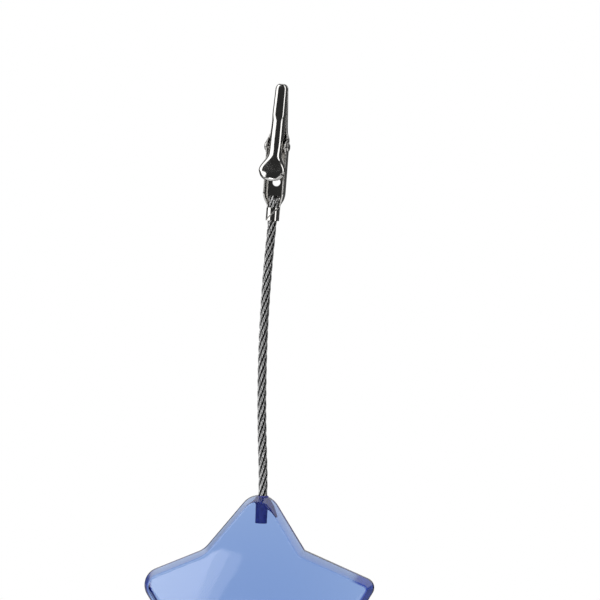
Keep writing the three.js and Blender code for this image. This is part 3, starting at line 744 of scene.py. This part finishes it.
def lower_jaw_stations(shape):
    """Stations of the fixed half above the barrel: tail, ears, lower jaw and nose."""
    tail_edge, jaw_edge = shape.barrel - shape.wall, GRIP_DEPTH + JAW_GAP / 2
    waist = 2 * (shape.barrel + shape.sheet / 2)

    def floor(height):
        """Depth of the tail's back."""
        return shape.barrel

    def wall(height):
        """Depth of the edges of the tail's side walls."""
        return tail_edge

    rows = [
        shape.rolled(shape.crimp + rise, shape.barrel + CRIMP_STEP, CRIMP_OPEN, CRIMP_OPEN)
        for rise in (-CRIMP_JOINT, CRIMP_JOINT / 2)
    ]
    height, width = mix(shape.crimp, TAIL_START, FLARE_RISE), mix(waist, shape.lower, FLARE)
    edge = mix(shape.barrel - FLARE_DEPTH, tail_edge, FLARE)
    rows.append(shape.channel(height, width, shape.barrel, edge, TAIL_CORNER))
    for height in (TAIL_START, shape.pivot - shape.lower_ear - EAR_FOOT):
        rows.append(shape.channel(height, shape.lower, shape.barrel, tail_edge, TAIL_CORNER))
    rows += shape.ears(-1, shape.lower_ear, shape.lower, floor, wall, jaw_edge, TAIL_CORNER)
    root, nose = shape.pivot + shape.lower_ear + LOWER_ROOT, shape.total - NOSE
    tip_back = shape.barrel - LOWER_DROP
    for share in (0, 0.5, 1):
        width, back = mix(shape.root, shape.tip, share), mix(shape.barrel, tip_back, mix(ROOT_DROP, 1, share))
        rows.append(shape.channel(mix(root, nose, share), width, back, jaw_edge, TAIL_CORNER))
    return rows + shape.nose(1, tip_back, jaw_edge, TAIL_CORNER)


def barrel_stations(shape):
    """Stations of the crimp barrel, whose seam climbs from the left to the right."""
    turn = 180 - CRIMP_SEAM / 2
    steps = np.linspace(0, 1, 9)
    slants = mix(-CRIMP_SLANT, CRIMP_SLANT, steps)
    return [
        shape.rolled(shape.crimp * step, shape.barrel, turn + slant, turn - slant)
        for step, slant in zip(steps, slants)
    ]


def upper_jaw_stations(shape):
    """Stations of the moving half: thumb pad, neck, ears, upper jaw and nose."""
    jaw_edge = GRIP_DEPTH - JAW_GAP / 2
    bend = (shape.upper - shape.sheet) / 2 - ARCH_PLAY

    def wall(height):
        """Depth of the edges of the neck's side walls."""
        return shape.lever_back(height) + NECK_WALL

    rows = []
    for turn in np.linspace(84, 6, 14):
        height = PAD_WIDE - (PAD_WIDE - shape.pad_end) * math.sin(turn * DEGREE)
        rows.append(shape.pad_station(height, mix(PAD_END_WIDTH, shape.pad, math.cos(turn * DEGREE))))
    pad = shape.pad_station(PAD_WIDE, shape.pad)
    neck = shape.channel(NECK, shape.upper, shape.lever_back(NECK), wall(NECK), bend)
    rows += [shape.neck_station(pad, neck, share) for share in np.linspace(0, 1, 9)]
    rows += shape.ears(1, shape.upper_ear, shape.upper, shape.lever_back, wall, jaw_edge, bend)
    root, nose = shape.pivot + shape.upper_ear + UPPER_ROOT, shape.total - NOSE
    root_width = min(shape.upper, shape.root)
    below, above = JAW_CORNER_HEIGHT - JAW_CORNER_EASE, JAW_CORNER_HEIGHT + JAW_CORNER_EASE
    for height in (root, below, above, mix(JAW_CORNER_HEIGHT, nose, 0.5), nose):
        width = mix(root_width, shape.tip, (height - root) / (nose - root))
        corner = JAW_CORNER if height > JAW_CORNER_HEIGHT else bend
        rows.append(shape.channel(height, width, shape.lever_back(height), jaw_edge, corner))
    return rows + shape.nose(-1, shape.lever_back(nose), jaw_edge, JAW_CORNER)


def bored(obj, shape, radius, reach, *order):
    """Cuts a round hole of a radius and half length.

    order gives the cutter's middle and which of its own axes lies along x, y and z."""
    points, quads, ends = turned(np.array([[radius, -reach], [radius, reach]]), sides=48)
    placed = np.stack([middle + points[:, axis] for middle, axis in order], -1)
    cutter = mesh_object("hole_cutter", shape.out(placed), quads, ends)
    modifier = obj.modifiers.new("hole", "BOOLEAN")
    modifier.object, modifier.operation, modifier.solver = cutter, "DIFFERENCE", "EXACT"
    cut = bpy.data.meshes.new_from_object(obj.evaluated_get(bpy.context.evaluated_depsgraph_get()))
    obj.modifiers.clear()
    old, tool, obj.data = obj.data, cutter.data, cut
    name = old.name
    bpy.data.objects.remove(cutter)
    bpy.data.meshes.remove(old)
    bpy.data.meshes.remove(tool)
    cut.name = name
    cut.set_sharp_from_angle(angle=SHARP * DEGREE)


def pierced(obj, shape):
    """Cuts the rivet's round hole through both ears of one half of the clip."""
    radius, reach = shape.rivet + RIVET_PLAY, shape.lower / 2 + CUTTER_SPARE
    bored(obj, shape, radius, reach, (0, 2), (PIVOT_DEPTH, 0), (shape.pivot, 1))


def rivet_profile(shape):
    """Rivet as radius and place along its axis: a plain shaft and domed heads with a punch mark."""
    shaft = shape.lower / 2 + HEAD_GAP
    t = np.linspace(4, 90, 14) * DEGREE
    dome = np.stack([shape.head * np.sin(t), -shaft - HEAD_HEIGHT * np.cos(t) ** DOME_POWER], 1)
    dome[:, 1] += PUNCH_DEPTH * np.exp(-((dome[:, 0] / (PUNCH_WIDTH * shape.head)) ** 2))
    under = [[shape.head * HEAD_LAND, -shaft], [shape.rivet, -shaft]]
    half = np.concatenate([[[AXIS_HOLE, dome[0, 1]]], dome, under])
    return np.concatenate([half, (half * [1, -1])[::-1]])


def spring_line(shape, count=420):
    """Middle line of the spring: a leg on the tail floor, the turns on the rivet, a leg under the pad.

    In the plane of height and depth each leg touches the circle of the turns, and along the rivet the turns
    advance evenly. A leg closes in towards the middle by the square of the share of its length."""
    low = shape.pivot - SPRING_LEG
    floor = shape.barrel - shape.sheet / 2 - SPRING_LEG_GAP - shape.wire / 2
    under = shape.lever_back(low) + shape.sheet / 2 + SPRING_LEG_GAP + shape.wire / 2

    def touch(depth, side):
        """Turn at which a leg that ends at a depth touches the circle of the turns, and the leg's length."""
        up, out = low - shape.pivot, depth - PIVOT_DEPTH
        far = math.hypot(up, out)
        return math.atan2(out, up) - side * math.acos(shape.coil / far), math.sqrt(far**2 - shape.coil**2)

    (first, first_leg), (last, last_leg) = touch(floor, 1), touch(under, -1)
    sweep = first - last + SPRING_TURNS * 2 * np.pi
    coil = sweep * shape.coil
    along = np.linspace(0, first_leg + coil + last_leg, count)
    wound = np.clip((along - first_leg) / coil, 0, 1)
    turn = first - wound * sweep
    side = shape.span / 2
    x = side * (2 * wound - 1)
    y = PIVOT_DEPTH + shape.coil * np.sin(turn)
    z = shape.pivot + shape.coil * np.cos(turn)
    legs = (1 - along / first_leg, floor, -1), ((along - first_leg - coil) / last_leg, under, 1)
    for share, depth, way in legs:
        share = np.clip(share, 0, 1)
        x, y, z = mix(x, way * SPRING_SPREAD / 2, share**2), mix(y, depth, share), mix(z, low, share)
    return np.stack([x, y, z], -1)


# Finishes


def put(tree, socket, value):
    """Links a socket to an input, or sets the input's own value."""
    if isinstance(value, bpy.types.NodeSocket):
        tree.links.new(value, socket)
    else:
        socket.default_value = value


def fill(tree, node, **values):
    """Gives a node its settings, and the values or links of its inputs, which start with a capital."""
    for key, value in values.items():
        socket = node.inputs.get(key.replace("_", " ")) if key[0].isupper() else None
        if socket is None:
            setattr(node, key, value)
        else:
            put(tree, socket, value)
    return node


def add(tree, kind, x, y, **values):
    """A new node of a kind with its settings and inputs."""
    node = tree.nodes.new(kind)
    node.location = (x, y)
    return fill(tree, node, **values)


def noise(tree, vector, scale, detail, x, y, roughness=0.5):
    """Cloudy noise from 0 to 1."""
    node = add(tree, "ShaderNodeTexNoise", x, y, Vector=vector, Scale=scale, Detail=detail)
    return fill(tree, node, Roughness=roughness).outputs["Fac"]


def ramp(tree, value, low, high, start, end, x, y, kind="SMOOTHSTEP"):
    """A step from one level to another while a value goes from low to high."""
    node = add(tree, "ShaderNodeMapRange", x, y, interpolation_type=kind, Value=value)
    fill(tree, node, From_Min=low, From_Max=high, To_Min=start, To_Max=end)
    return node.outputs["Result"]


def merge(tree, operation, first, second, x, y):
    """Two values joined by one operation."""
    node = add(tree, "ShaderNodeMath", x, y, operation=operation)
    put(tree, node.inputs[0], first)
    put(tree, node.inputs[1], second)
    return node.outputs[0]


def choose(tree, factor, first, second, x, y):
    """A value between two others."""
    return add(tree, "ShaderNodeMix", x, y, data_type="FLOAT", Factor=factor, A=first, B=second).outputs[0]


def tone(tree, factor, first, second, x, y):
    """A colour between two others."""
    node = add(tree, "ShaderNodeMix", x, y, data_type="RGBA", Factor=factor)
    put(tree, node.inputs[6], first)
    put(tree, node.inputs[7], second)
    return node.outputs[2]


def shade(rgb, share=1.0):
    """A colour with four channels, at a share of its brightness."""
    return (*(share * channel for channel in rgb), 1.0)


def bump(tree, height, strength, distance, x, **values):
    """A normal from a height."""
    node = add(tree, "ShaderNodeBump", x, -300, Height=height, Strength=strength, Distance=distance, **values)
    return node.outputs["Normal"]


def spot(tree):
    """The place on the object, in metres."""
    return add(tree, "ShaderNodeTexCoord", -1100, 0).outputs["Object"]


SOCKETS = {type(None): "NodeSocketVector", float: "NodeSocketFloat", tuple: "NodeSocketColor"}


def new_group(name, inputs, outputs):
    """A shader node group, its input sockets and its output node. Each default decides its socket's kind."""
    tree = bpy.data.node_groups.new(name, "ShaderNodeTree")
    for way, sockets in (("INPUT", inputs), ("OUTPUT", outputs)):
        for label, default in sockets.items():
            socket = tree.interface.new_socket(name=label, in_out=way, socket_type=SOCKETS[type(default)])
            if default is not None:
                socket.default_value = default
    return tree, tree.nodes.new("NodeGroupInput").outputs, tree.nodes.new("NodeGroupOutput")


def handling_marks(name):
    """Group: soft smudges and fine hair scratches. Gives a roughness and a height."""
    inputs = {"Vector": None, "Smudge Scale": 250.0, "Scratch Scale": 500.0, "Low": 0.05, "High": 0.12}
    tree, start, end = new_group(name, inputs, {"Roughness": 0.0, "Height": 0.0})
    smudge = noise(tree, start["Vector"], start["Smudge Scale"], 4.0, -500, 200)
    rough = ramp(tree, smudge, 0.35, 0.7, start["Low"], start["High"], -250, 200, "LINEAR")
    stretch = add(tree, "ShaderNodeMapping", -750, -150, Vector=start["Vector"], Scale=(1.0, 1.0, 0.06))
    fill(tree, stretch, Rotation=(0.5, 0.3, 0.0))
    scratch = noise(tree, stretch.outputs["Vector"], start["Scratch Scale"], 2.0, -500, -150)
    fill(tree, end, Roughness=rough, Height=ramp(tree, scratch, 0.62, 0.72, 0, 1, -250, -150, "LINEAR"))
    return tree


def drawn_wire(name):
    """Group: streaks along a wire's own surface map. Gives a shade, a roughness and a height."""
    dark, light = shade((0.2, 0.2, 0.2)), shade((0.6, 0.6, 0.6))
    inputs = {"Vector": None, "Dark": dark, "Light": light, "Low": 0.2, "High": 0.4}
    tree, start, end = new_group(name, inputs, {"Shade": light, "Roughness": 0.0, "Height": 0.0})
    stretch = add(tree, "ShaderNodeMapping", -700, 0, Vector=start["Vector"], Scale=(9.0, 1.6, 1.0))
    streak = noise(tree, stretch.outputs["Vector"], 3.0, 5.0, -500, 0, 0.6)
    clear = ramp(tree, streak, 0.38, 0.62, 0, 1, -300, 200, "LINEAR")
    rough = ramp(tree, streak, 0.3, 0.7, start["High"], start["Low"], -300, -100, "LINEAR")
    streaked = tone(tree, clear, start["Dark"], start["Light"], -100, 200)
    fill(tree, end, Shade=streaked, Roughness=rough, Height=streak)
    return tree


def use_group(tree, name, make, **values):
    """Outputs of a shader group, made the first time, placed in a material with its own values."""
    group = bpy.data.node_groups.get(name) or make(name)
    return add(tree, "ShaderNodeGroup", -450, 0, node_tree=group, **values).outputs


def marked(tree, vector, smudge, scratch, low, high):
    """Outputs of the handling marks at two scales, with the least and the most roughness."""
    values = {"Smudge_Scale": smudge, "Scratch_Scale": scratch, "Low": low, "High": high}
    return use_group(tree, "Handling marks", handling_marks, Vector=vector, **values)


def new_material(name):
    """A material with its tree, its Principled shader and its output."""
    material = bpy.data.materials.new(name)
    material.use_nodes = True
    tree = material.node_tree
    return material, tree, tree.nodes["Principled BSDF"], tree.nodes["Material Output"]


def once(make, name, *values):
    """The material of that name, made the first time."""
    return bpy.data.materials.get(name) or make(name, *values)


def clear_plastic(name, star):
    """Polished clear plastic: tinted by depth, with a faint moulding ripple, smudges and painted shade on the
    side points' rims.
    """
    material, tree, shader, output = new_material(name)
    place_of = spot(tree)
    marks = marked(tree, place_of, 140.0, 420.0, 0.02, 0.06)
    ripple = bump(tree, noise(tree, place_of, 55.0, 1.0, -650, -300), 0.12, 0.0012, -250)
    # Painted shade: the base colour turns to the rim colour on the side points' rims
    rim = add(tree, "ShaderNodeAttribute", -650, 300, attribute_name="Rim").outputs["Fac"]
    rim_shade_colour = tone(tree, rim, shade((1, 1, 1)), shade(star.rim), -250, 250)
    fill(tree, shader, Base_Color=rim_shade_colour, Roughness=marks["Roughness"], Normal=ripple)
    fill(tree, shader, Transmission_Weight=1, IOR=1.5)
    depth = add(tree, "ShaderNodeVolumeAbsorption", 0, -400, Color=shade(star.tint), Density=star.depth)
    fill(tree, output, Volume=depth.outputs["Volume"])
    return material


def cured_adhesive(name, rope):
    """Dark cured adhesive with faint clouding."""
    material, tree, shader, _ = new_material(name)
    cloud = noise(tree, spot(tree), 700.0, 3.0, -600, 0)
    clouded = tone(tree, cloud, shade(rope.glue, 0.6), shade(rope.glue, 1.4), -300, 0)
    fill(tree, shader, Base_Color=clouded, Roughness=0.35)
    return material


def wire_steel(name, steel, low, high, laid=False):
    """Bright drawn wire with streaks along its length. In a laid rope, painted shade darkens the gaps between
    strands.
    """
    material, tree, shader, _ = new_material(name)
    surface = add(tree, "ShaderNodeUVMap", -900, 0, uv_map="Surface").outputs["UV"]
    values = {"Dark": shade(steel, 0.45), "Light": shade(steel), "Low": low, "High": high}
    wire = use_group(tree, "Drawn wire", drawn_wire, Vector=surface, **values)
    colour_of = wire["Shade"]
    if laid:
        # Painted shade: near black in the gaps between strands, where the Crown share of the rope's radius is
        # low
        crown = add(tree, "ShaderNodeAttribute", -900, 300, attribute_name="Crown").outputs["Fac"]
        unshaded = ramp(tree, crown, 0.82, 0.96, 0, 1, -700, 300)
        colour_of = tone(tree, unshaded, shade(steel, 0.02), colour_of, -200, 250)
    fine = bump(tree, wire["Height"], 0.25, 0.00004, -250)
    fill(tree, shader, Base_Color=colour_of, Roughness=wire["Roughness"], Normal=fine, Metallic=1)
    return material


def bright_nickel(name, nickel, low, high):
    """Bright nickel plate over stamped sheet: soft smudges, hair scratches and a slight orange peel."""
    material, tree, shader, _ = new_material(name)
    place_of = spot(tree)
    marks = marked(tree, place_of, 500.0, 1400.0, low, high)
    peel = noise(tree, place_of, 650.0, 2.0, -650, -300)
    soft = bump(tree, peel, 0.035, 0.00006, -450)
    fine = bump(tree, marks["Height"], 0.05, 0.00002, -250, Normal=soft)
    plate = tone(tree, peel, shade(nickel, 0.88), shade(nickel), -250, 250)
    fill(tree, shader, Base_Color=plate, Roughness=marks["Roughness"], Normal=fine, Metallic=1)
    return material


# Stage: sizes in metres

LIT_PLACE = (0, 0, 0.08)
FLOOR_SIDE = 0.3
KEY_PLACE = (-0.6, -0.28, 0.42)
KEY_SIZE = (0.8, 0.9)
FILL_PLACE = (0.52, -0.36, 0.42)
FILL_SIZE = (0.28, 0.9)
TOP_PLACE = (0.0, 0.1, 0.95)
TOP_SIZE = (0.5, 0.5)
TOP_LEVEL = 1.0
# The middle one of three low boxes, one behind the other, whose mirror images add up to one with a soft edge
LOW_PLACE = np.array([-0.074, -0.203, 0.0295])
LOW_SIZE = np.array([0.07, 0.036])
LOW_LEAN = -22
# How far the place and the size of each low box differ from the one before it
LOW_STEP = np.array([0.00276, -0.003, -0.00114])
LOW_GROWTH = np.array([0.006, 0.002])
# Picture size in pixels, pixels per millimetre, pixel of the star's top point, sensor width in millimetres
PIXELS = 600
SCALE = 4.6
APEX_PIXEL = (261.9, 494.9)
SENSOR = 36
# Nearest and farthest place that the camera shows
SIGHT = (0.01, 20)


def axes(forward, roll):
    """Right and up of a thing that looks along forward. A positive roll tips its top to its left."""
    right = unit(np.cross(forward, [0, 0, 1.0]))
    up = np.cross(right, forward)
    return math.cos(roll) * right + math.sin(roll) * up, math.cos(roll) * up - math.sin(roll) * right


def set_up(name, data, right, up, forward, at):
    """A light or camera with its axes, at a place."""
    obj = bpy.data.objects.new(name, data)
    matrix = np.eye(4)
    matrix[:3] = np.stack([right, up, -forward, at], 1)
    obj.matrix_world = Matrix(matrix.tolist())
    bpy.context.scene.collection.objects.link(obj)
    return obj


def soft_box(name, at, target, width, height, radiance, lean=0.0):
    """An area light that faces its target, with even radiance: power = radiance x pi x area."""
    light = bpy.data.lights.new(name, "AREA")
    light.shape, light.size, light.size_y = "RECTANGLE", width, height
    light.energy = radiance * math.pi * width * height
    forward = unit(np.array(target) - np.array(at))
    set_up(name, light, *axes(forward, lean), forward, at)


def white_room(stage):
    """World: white where the camera sees it, white behind and dimmer at the sides for clear plastic.

    Polished faces meet a dim room with a pale backdrop behind and above the object. Other rays carry the
    soft light."""
    world = bpy.data.worlds.new("white_room")
    bpy.context.scene.world = world
    world.use_nodes = True
    tree = world.node_tree
    path = add(tree, "ShaderNodeLightPath", -900, 300).outputs
    way = add(tree, "ShaderNodeTexCoord", -1100, -100).outputs["Generated"]
    parts = add(tree, "ShaderNodeSeparateXYZ", -900, -100, Vector=way).outputs
    room = ramp(tree, parts["Y"], -0.2, 0.6, 0.03, 0.07, -700, 100)
    depth = ramp(tree, parts["Y"], 0.6, 0.8, 0, stage.backdrop, -700, -100)
    rise = ramp(tree, parts["Z"], 0.05, 0.25, 0, 1, -700, -300)
    polished = merge(tree, "ADD", room, merge(tree, "MULTIPLY", depth, rise, -500, -200), -300, 0)
    clear = ramp(tree, parts["Y"], 0.55, 0.85, 0.6, 1, -700, -500)
    level = stage.ambient
    for ray, seen in (("Is Glossy Ray", polished), ("Is Transmission Ray", clear), ("Is Camera Ray", 1.0)):
        level = choose(tree, path[ray], level, seen, -100, 0)
    fill(tree, tree.nodes["Background"], Color=shade((1, 1, 1)), Strength=level)


def floor_paper(stage):
    """Pale floor: plain paper that takes the shadow near the object, and white where it is seen farther off.

    Clear plastic shows it white. Polished faces show it pale in front of the object and dim behind it."""
    material, tree, shader, output = new_material("floor_paper")
    fill(tree, shader, Base_Color=shade(stage.floor), Roughness=0.9, Specular_IOR_Level=0.1)
    path = add(tree, "ShaderNodeLightPath", -1100, 300).outputs
    place_of = spot(tree)
    behind = add(tree, "ShaderNodeSeparateXYZ", -900, -400, Vector=place_of).outputs["Y"]
    far = add(tree, "ShaderNodeVectorMath", -900, -200, operation="LENGTH", Vector=place_of).outputs["Value"]
    open_floor = ramp(tree, far, 0.05, 0.17, 0, 1, -700, -100)
    through = ramp(tree, far, 0, 0.06, 0.8, 1, -700, -300)
    dim = ramp(tree, behind, 0, 0.06, 0.8, 0.15, -700, -500)
    mirrored = merge(tree, "SUBTRACT", path["Is Glossy Ray"], path["Is Transmission Ray"], -700, 500)
    seen = merge(tree, "MULTIPLY", path["Is Camera Ray"], open_floor, -500, 300)
    plain = merge(tree, "MAXIMUM", seen, mirrored, -300, 200)
    clear = merge(tree, "MULTIPLY", path["Is Transmission Ray"], through, -500, -100)
    level = choose(tree, mirrored, 1.0, dim, -300, -250)
    white = add(tree, "ShaderNodeEmission", 0, -250, Strength=level)
    blend = add(tree, "ShaderNodeMixShader", 200, 0, Fac=merge(tree, "MAXIMUM", plain, clear, -100, 100))
    put(tree, blend.inputs[1], shader.outputs["BSDF"])
    put(tree, blend.inputs[2], white.outputs["Emission"])
    fill(tree, output, Surface=blend.outputs["Shader"])
    return material


def photo_camera(stage, star):
    """Camera that puts the star's top point at its pixel: focal length in pixels = scale x distance."""
    a, e, far = stage.azimuth, stage.pitch, stage.distance / MM
    forward = np.array([-math.sin(a) * math.cos(e), math.cos(a) * math.cos(e), -math.sin(e)])
    right, up = axes(forward, stage.roll)
    across, rise = (APEX_PIXEL[0] - PIXELS / 2) / SCALE, (PIXELS / 2 - APEX_PIXEL[1]) / SCALE
    at = np.array([0, 0, mm(star, "height")]) - far * forward - across * right - rise * up
    data = bpy.data.cameras.new("photo_camera")
    data.sensor_width, data.lens = SENSOR, SENSOR * SCALE * far / PIXELS
    data.clip_start, data.clip_end = SIGHT
    bpy.context.scene.camera = set_up("photo_camera", data, right, up, forward, at * MM)


class MEMO_OT_stage(bpy.types.Operator):
    """Set up the camera, the floor, the world and the soft boxes"""

    bl_idname = "memo_holder.stage"
    bl_label = "Stage"

    def execute(self, context):
        stage = settings("stage")
        photo_camera(stage, settings("star"))
        white_room(stage)
        corners = FLOOR_SIDE * np.array([[-1, -1, 0], [1, -1, 0], [1, 1, 0], [-1, 1, 0]])
        mesh = bpy.data.meshes.new("floor")
        mesh.from_pydata(corners.tolist(), [], [[0, 1, 2, 3]])
        floor = bpy.data.objects.new("floor", mesh)
        context.scene.collection.objects.link(floor)
        mesh.materials.append(floor_paper(stage))
        soft_box("key_box", KEY_PLACE, LIT_PLACE, *KEY_SIZE, stage.key)
        soft_box("fill_box", FILL_PLACE, LIT_PLACE, *FILL_SIZE, stage.fill)
        soft_box("top_box", TOP_PLACE, LIT_PLACE, *TOP_SIZE, TOP_LEVEL)
        for step in (-1, 0, 1):
            at, size = LOW_PLACE + step * LOW_STEP, LOW_SIZE + step * LOW_GROWTH
            ahead = at * np.array([1, 0, 1])
            soft_box(f"low_box_{step + 2}", at, ahead, *size.tolist(), stage.low / 3, LOW_LEAN * DEGREE)
        context.scene.view_settings.view_transform = "Standard"
        return {"FINISHED"}


class MEMO_OT_star(bpy.types.Operator):
    """Make the clear star"""

    bl_idname = "memo_holder.star"
    bl_label = "Star"

    def execute(self, context):
        star = settings("star")
        points, quads, others, rim = star_surface(star)
        obj = mesh_object("star", points, quads, others)
        # The rim mask places the painted shade on the side points' rims
        obj.data.attributes.new("Rim", "FLOAT", "POINT").data.foreach_set("value", rim)
        place(obj, "base", "star_plastic", once(clear_plastic, "clear_star_plastic", star), "star_base")
        return {"FINISHED"}


class MEMO_OT_glue(bpy.types.Operator):
    """Make the adhesive cup in the star's top point"""

    bl_idname = "memo_holder.glue"
    bl_label = "Glue"

    def execute(self, context):
        star, rope = settings("star"), settings("rope")
        points, quads, ends = turned(glue_profile(star, rope), sides=48)
        obj = mesh_object("glue_cup", points + np.array([mm(rope, "hole_offset"), 0, 0]), quads, ends)
        place(obj, "base", "adhesive", once(cured_adhesive, "cured_adhesive", rope), "glue_fill")
        return {"FINISHED"}


class MEMO_OT_rope(bpy.types.Operator):
    """Make the core strand and the six outer strands, each of seven wires"""

    bl_idname = "memo_holder.rope"
    bl_label = "Rope"

    def execute(self, context):
        star, rope, clip = settings("star"), settings("rope"), settings("clip")
        random = np.random.default_rng(FRAY_SEED)
        steel = once(wire_steel, "rope_wire", rope.steel, *ROPE_ROUGH, True)
        diameter = mm(rope, "diameter")
        for index in range(-1, 6):
            lines, out, axis = strand_wires(star, rope, clip, index, random)
            points, quads, others, uv = tubes(lines, out, diameter / 18, sides=8)
            ends = np.ones(2 * len(lines))
            body = points[: -len(ends)].reshape(*lines.shape[:2], -1, 3) - axis[:, :, None]
            # Crown: share of the rope's radius at each point, which places the painted shade in the gaps
            # between strands; the end caps get none
            crown = np.concatenate([np.linalg.norm(body, axis=-1).ravel() / (diameter / 2), ends])
            name = "rope_core" if index < 0 else f"rope_strand_{index + 1}"
            node = "core_strand" if index < 0 else f"outer_strand_{index + 1}"
            obj = mesh_object(name, points, quads, others, uv, WIRE_SHARP)
            place(obj, "base", "rope_steel", steel, node)
            obj.data.attributes.new("Crown", "FLOAT", "POINT").data.foreach_set("value", crown)
        return {"FINISHED"}


class MEMO_OT_lower_jaw(bpy.types.Operator):
    """Make the fixed half of the clip with its crimp barrel"""

    bl_idname = "memo_holder.lower_jaw"
    bl_label = "Lower jaw"

    def execute(self, context):
        shape, clip = ClipShape(), settings("clip")
        obj = mesh_object("clip_lower_jaw", *strip_surface(shape, lower_jaw_stations(shape), way=1, rows=130))
        diameter, height = mm(clip, "hole_diameter", "hole_height")
        bored(obj, shape, diameter / 2, CUTTER_SPARE, (0, 0), (shape.barrel, 2), (height, 1))
        pierced(obj, shape)
        barrel = mesh_object("barrel", *strip_surface(shape, barrel_stations(shape), way=1, rows=26, arc=30))
        with context.temp_override(active_object=obj, selected_editable_objects=[obj, barrel], object=obj):
            bpy.ops.object.join()
        plate = once(bright_nickel, "bright_nickel", clip.nickel, *PLATE_ROUGH)
        place(obj, "base", "clip_nickel", plate, "lower_jaw")
        return {"FINISHED"}


class MEMO_OT_upper_jaw(bpy.types.Operator):
    """Make the moving half of the clip with its thumb pad"""

    bl_idname = "memo_holder.upper_jaw"
    bl_label = "Upper jaw"

    def execute(self, context):
        shape, clip = ClipShape(), settings("clip")
        surface = strip_surface(shape, upper_jaw_stations(shape), way=-1, rows=170, drop=shape.lip_drop)
        obj = mesh_object("clip_upper_jaw", *surface)
        pierced(obj, shape)
        plate = once(bright_nickel, "bright_nickel", clip.nickel, *PLATE_ROUGH)
        place(obj, "lever", "clip_nickel", plate, "upper_jaw")
        return {"FINISHED"}


class MEMO_OT_rivet(bpy.types.Operator):
    """Make the rivet that the jaws turn on"""

    bl_idname = "memo_holder.rivet"
    bl_label = "Rivet"

    def execute(self, context):
        shape, clip = ClipShape(), settings("clip")
        points, quads, ends = turned(rivet_profile(shape), sides=56)
        lying = np.stack([points[:, 2], PIVOT_DEPTH + points[:, 0], shape.pivot + points[:, 1]], -1)
        obj = mesh_object("clip_rivet", shape.out(lying), quads, ends)
        plate = once(bright_nickel, "rivet_nickel", clip.nickel, *RIVET_ROUGH)
        place(obj, "base", "rivet_nickel", plate, "pivot_rivet")
        return {"FINISHED"}


class MEMO_OT_spring(bpy.types.Operator):
    """Make the torsion spring, one leg on each half of the clip"""

    bl_idname = "memo_holder.spring"
    bl_label = "Spring"

    def execute(self, context):
        shape, clip = ClipShape(), settings("clip")
        line = shape.out(spring_line(shape))[None]
        axis = shape.turn @ np.array([1.0, 0, 0])
        points, quads, others, uv = tubes(line, np.broadcast_to(axis, line.shape), shape.wire / 2, sides=12)
        obj = mesh_object("clip_spring", points, quads, others, uv, WIRE_SHARP)
        steel = once(wire_steel, "spring_wire", clip.spring, *SPRING_ROUGH)
        place(obj, None, "spring_steel", steel, "torsion_spring")
        pivot = shape.out(np.array([0, PIVOT_DEPTH, shape.pivot]))
        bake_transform(obj)
        return {"FINISHED"}


class MEMO_PT_panel(bpy.types.Panel):
    """Sizes, colours and makers of the memo holder"""

    bl_idname = "VIEW3D_PT_memo_holder"
    bl_label = "Memo holder"
    bl_space_type = "VIEW_3D"
    bl_region_type = "UI"
    bl_category = "Memo holder"

    def draw(self, context):
        for name in SETTINGS:
            box = self.layout.box()
            box.label(text=name.capitalize())
            values = settings(name)
            for key in values.bl_rna.properties.keys():
                if key not in {"rna_type", "name"}:
                    box.prop(values, key)
        for maker in MAKERS:
            self.layout.operator(maker.bl_idname)


SETTINGS = {"star": StarSettings, "rope": RopeSettings, "clip": ClipSettings, "stage": StageSettings}
MAKERS = (
    MEMO_OT_stage,
    MEMO_OT_star,
    MEMO_OT_glue,
    MEMO_OT_rope,
    MEMO_OT_lower_jaw,
    MEMO_OT_upper_jaw,
    MEMO_OT_rivet,
    MEMO_OT_spring,
)


def register():
    """Registers the settings, the makers and the panel."""
    for name, kind in SETTINGS.items():
        bpy.utils.register_class(kind)
        setattr(bpy.types.Scene, f"memo_{name}", bpy.props.PointerProperty(type=kind))
    for kind in (*MAKERS, MEMO_PT_panel):
        bpy.utils.register_class(kind)


def unregister():
    """Takes the panel, the makers and the settings away again."""
    for kind in (MEMO_PT_panel, *reversed(MAKERS)):
        bpy.utils.unregister_class(kind)
    for name, kind in SETTINGS.items():
        delattr(bpy.types.Scene, f"memo_{name}")
        bpy.utils.unregister_class(kind)


def main():
    """Registers the makers, then makes the stage and every piece."""
    register()
    bpy.ops.memo_holder.stage()
    bpy.ops.memo_holder.star()
    bpy.ops.memo_holder.glue()
    bpy.ops.memo_holder.rope()
    bpy.ops.memo_holder.lower_jaw()
    bpy.ops.memo_holder.upper_jaw()
    bpy.ops.memo_holder.rivet()
    bpy.ops.memo_holder.spring()


if __name__ == "__main__":
    main()
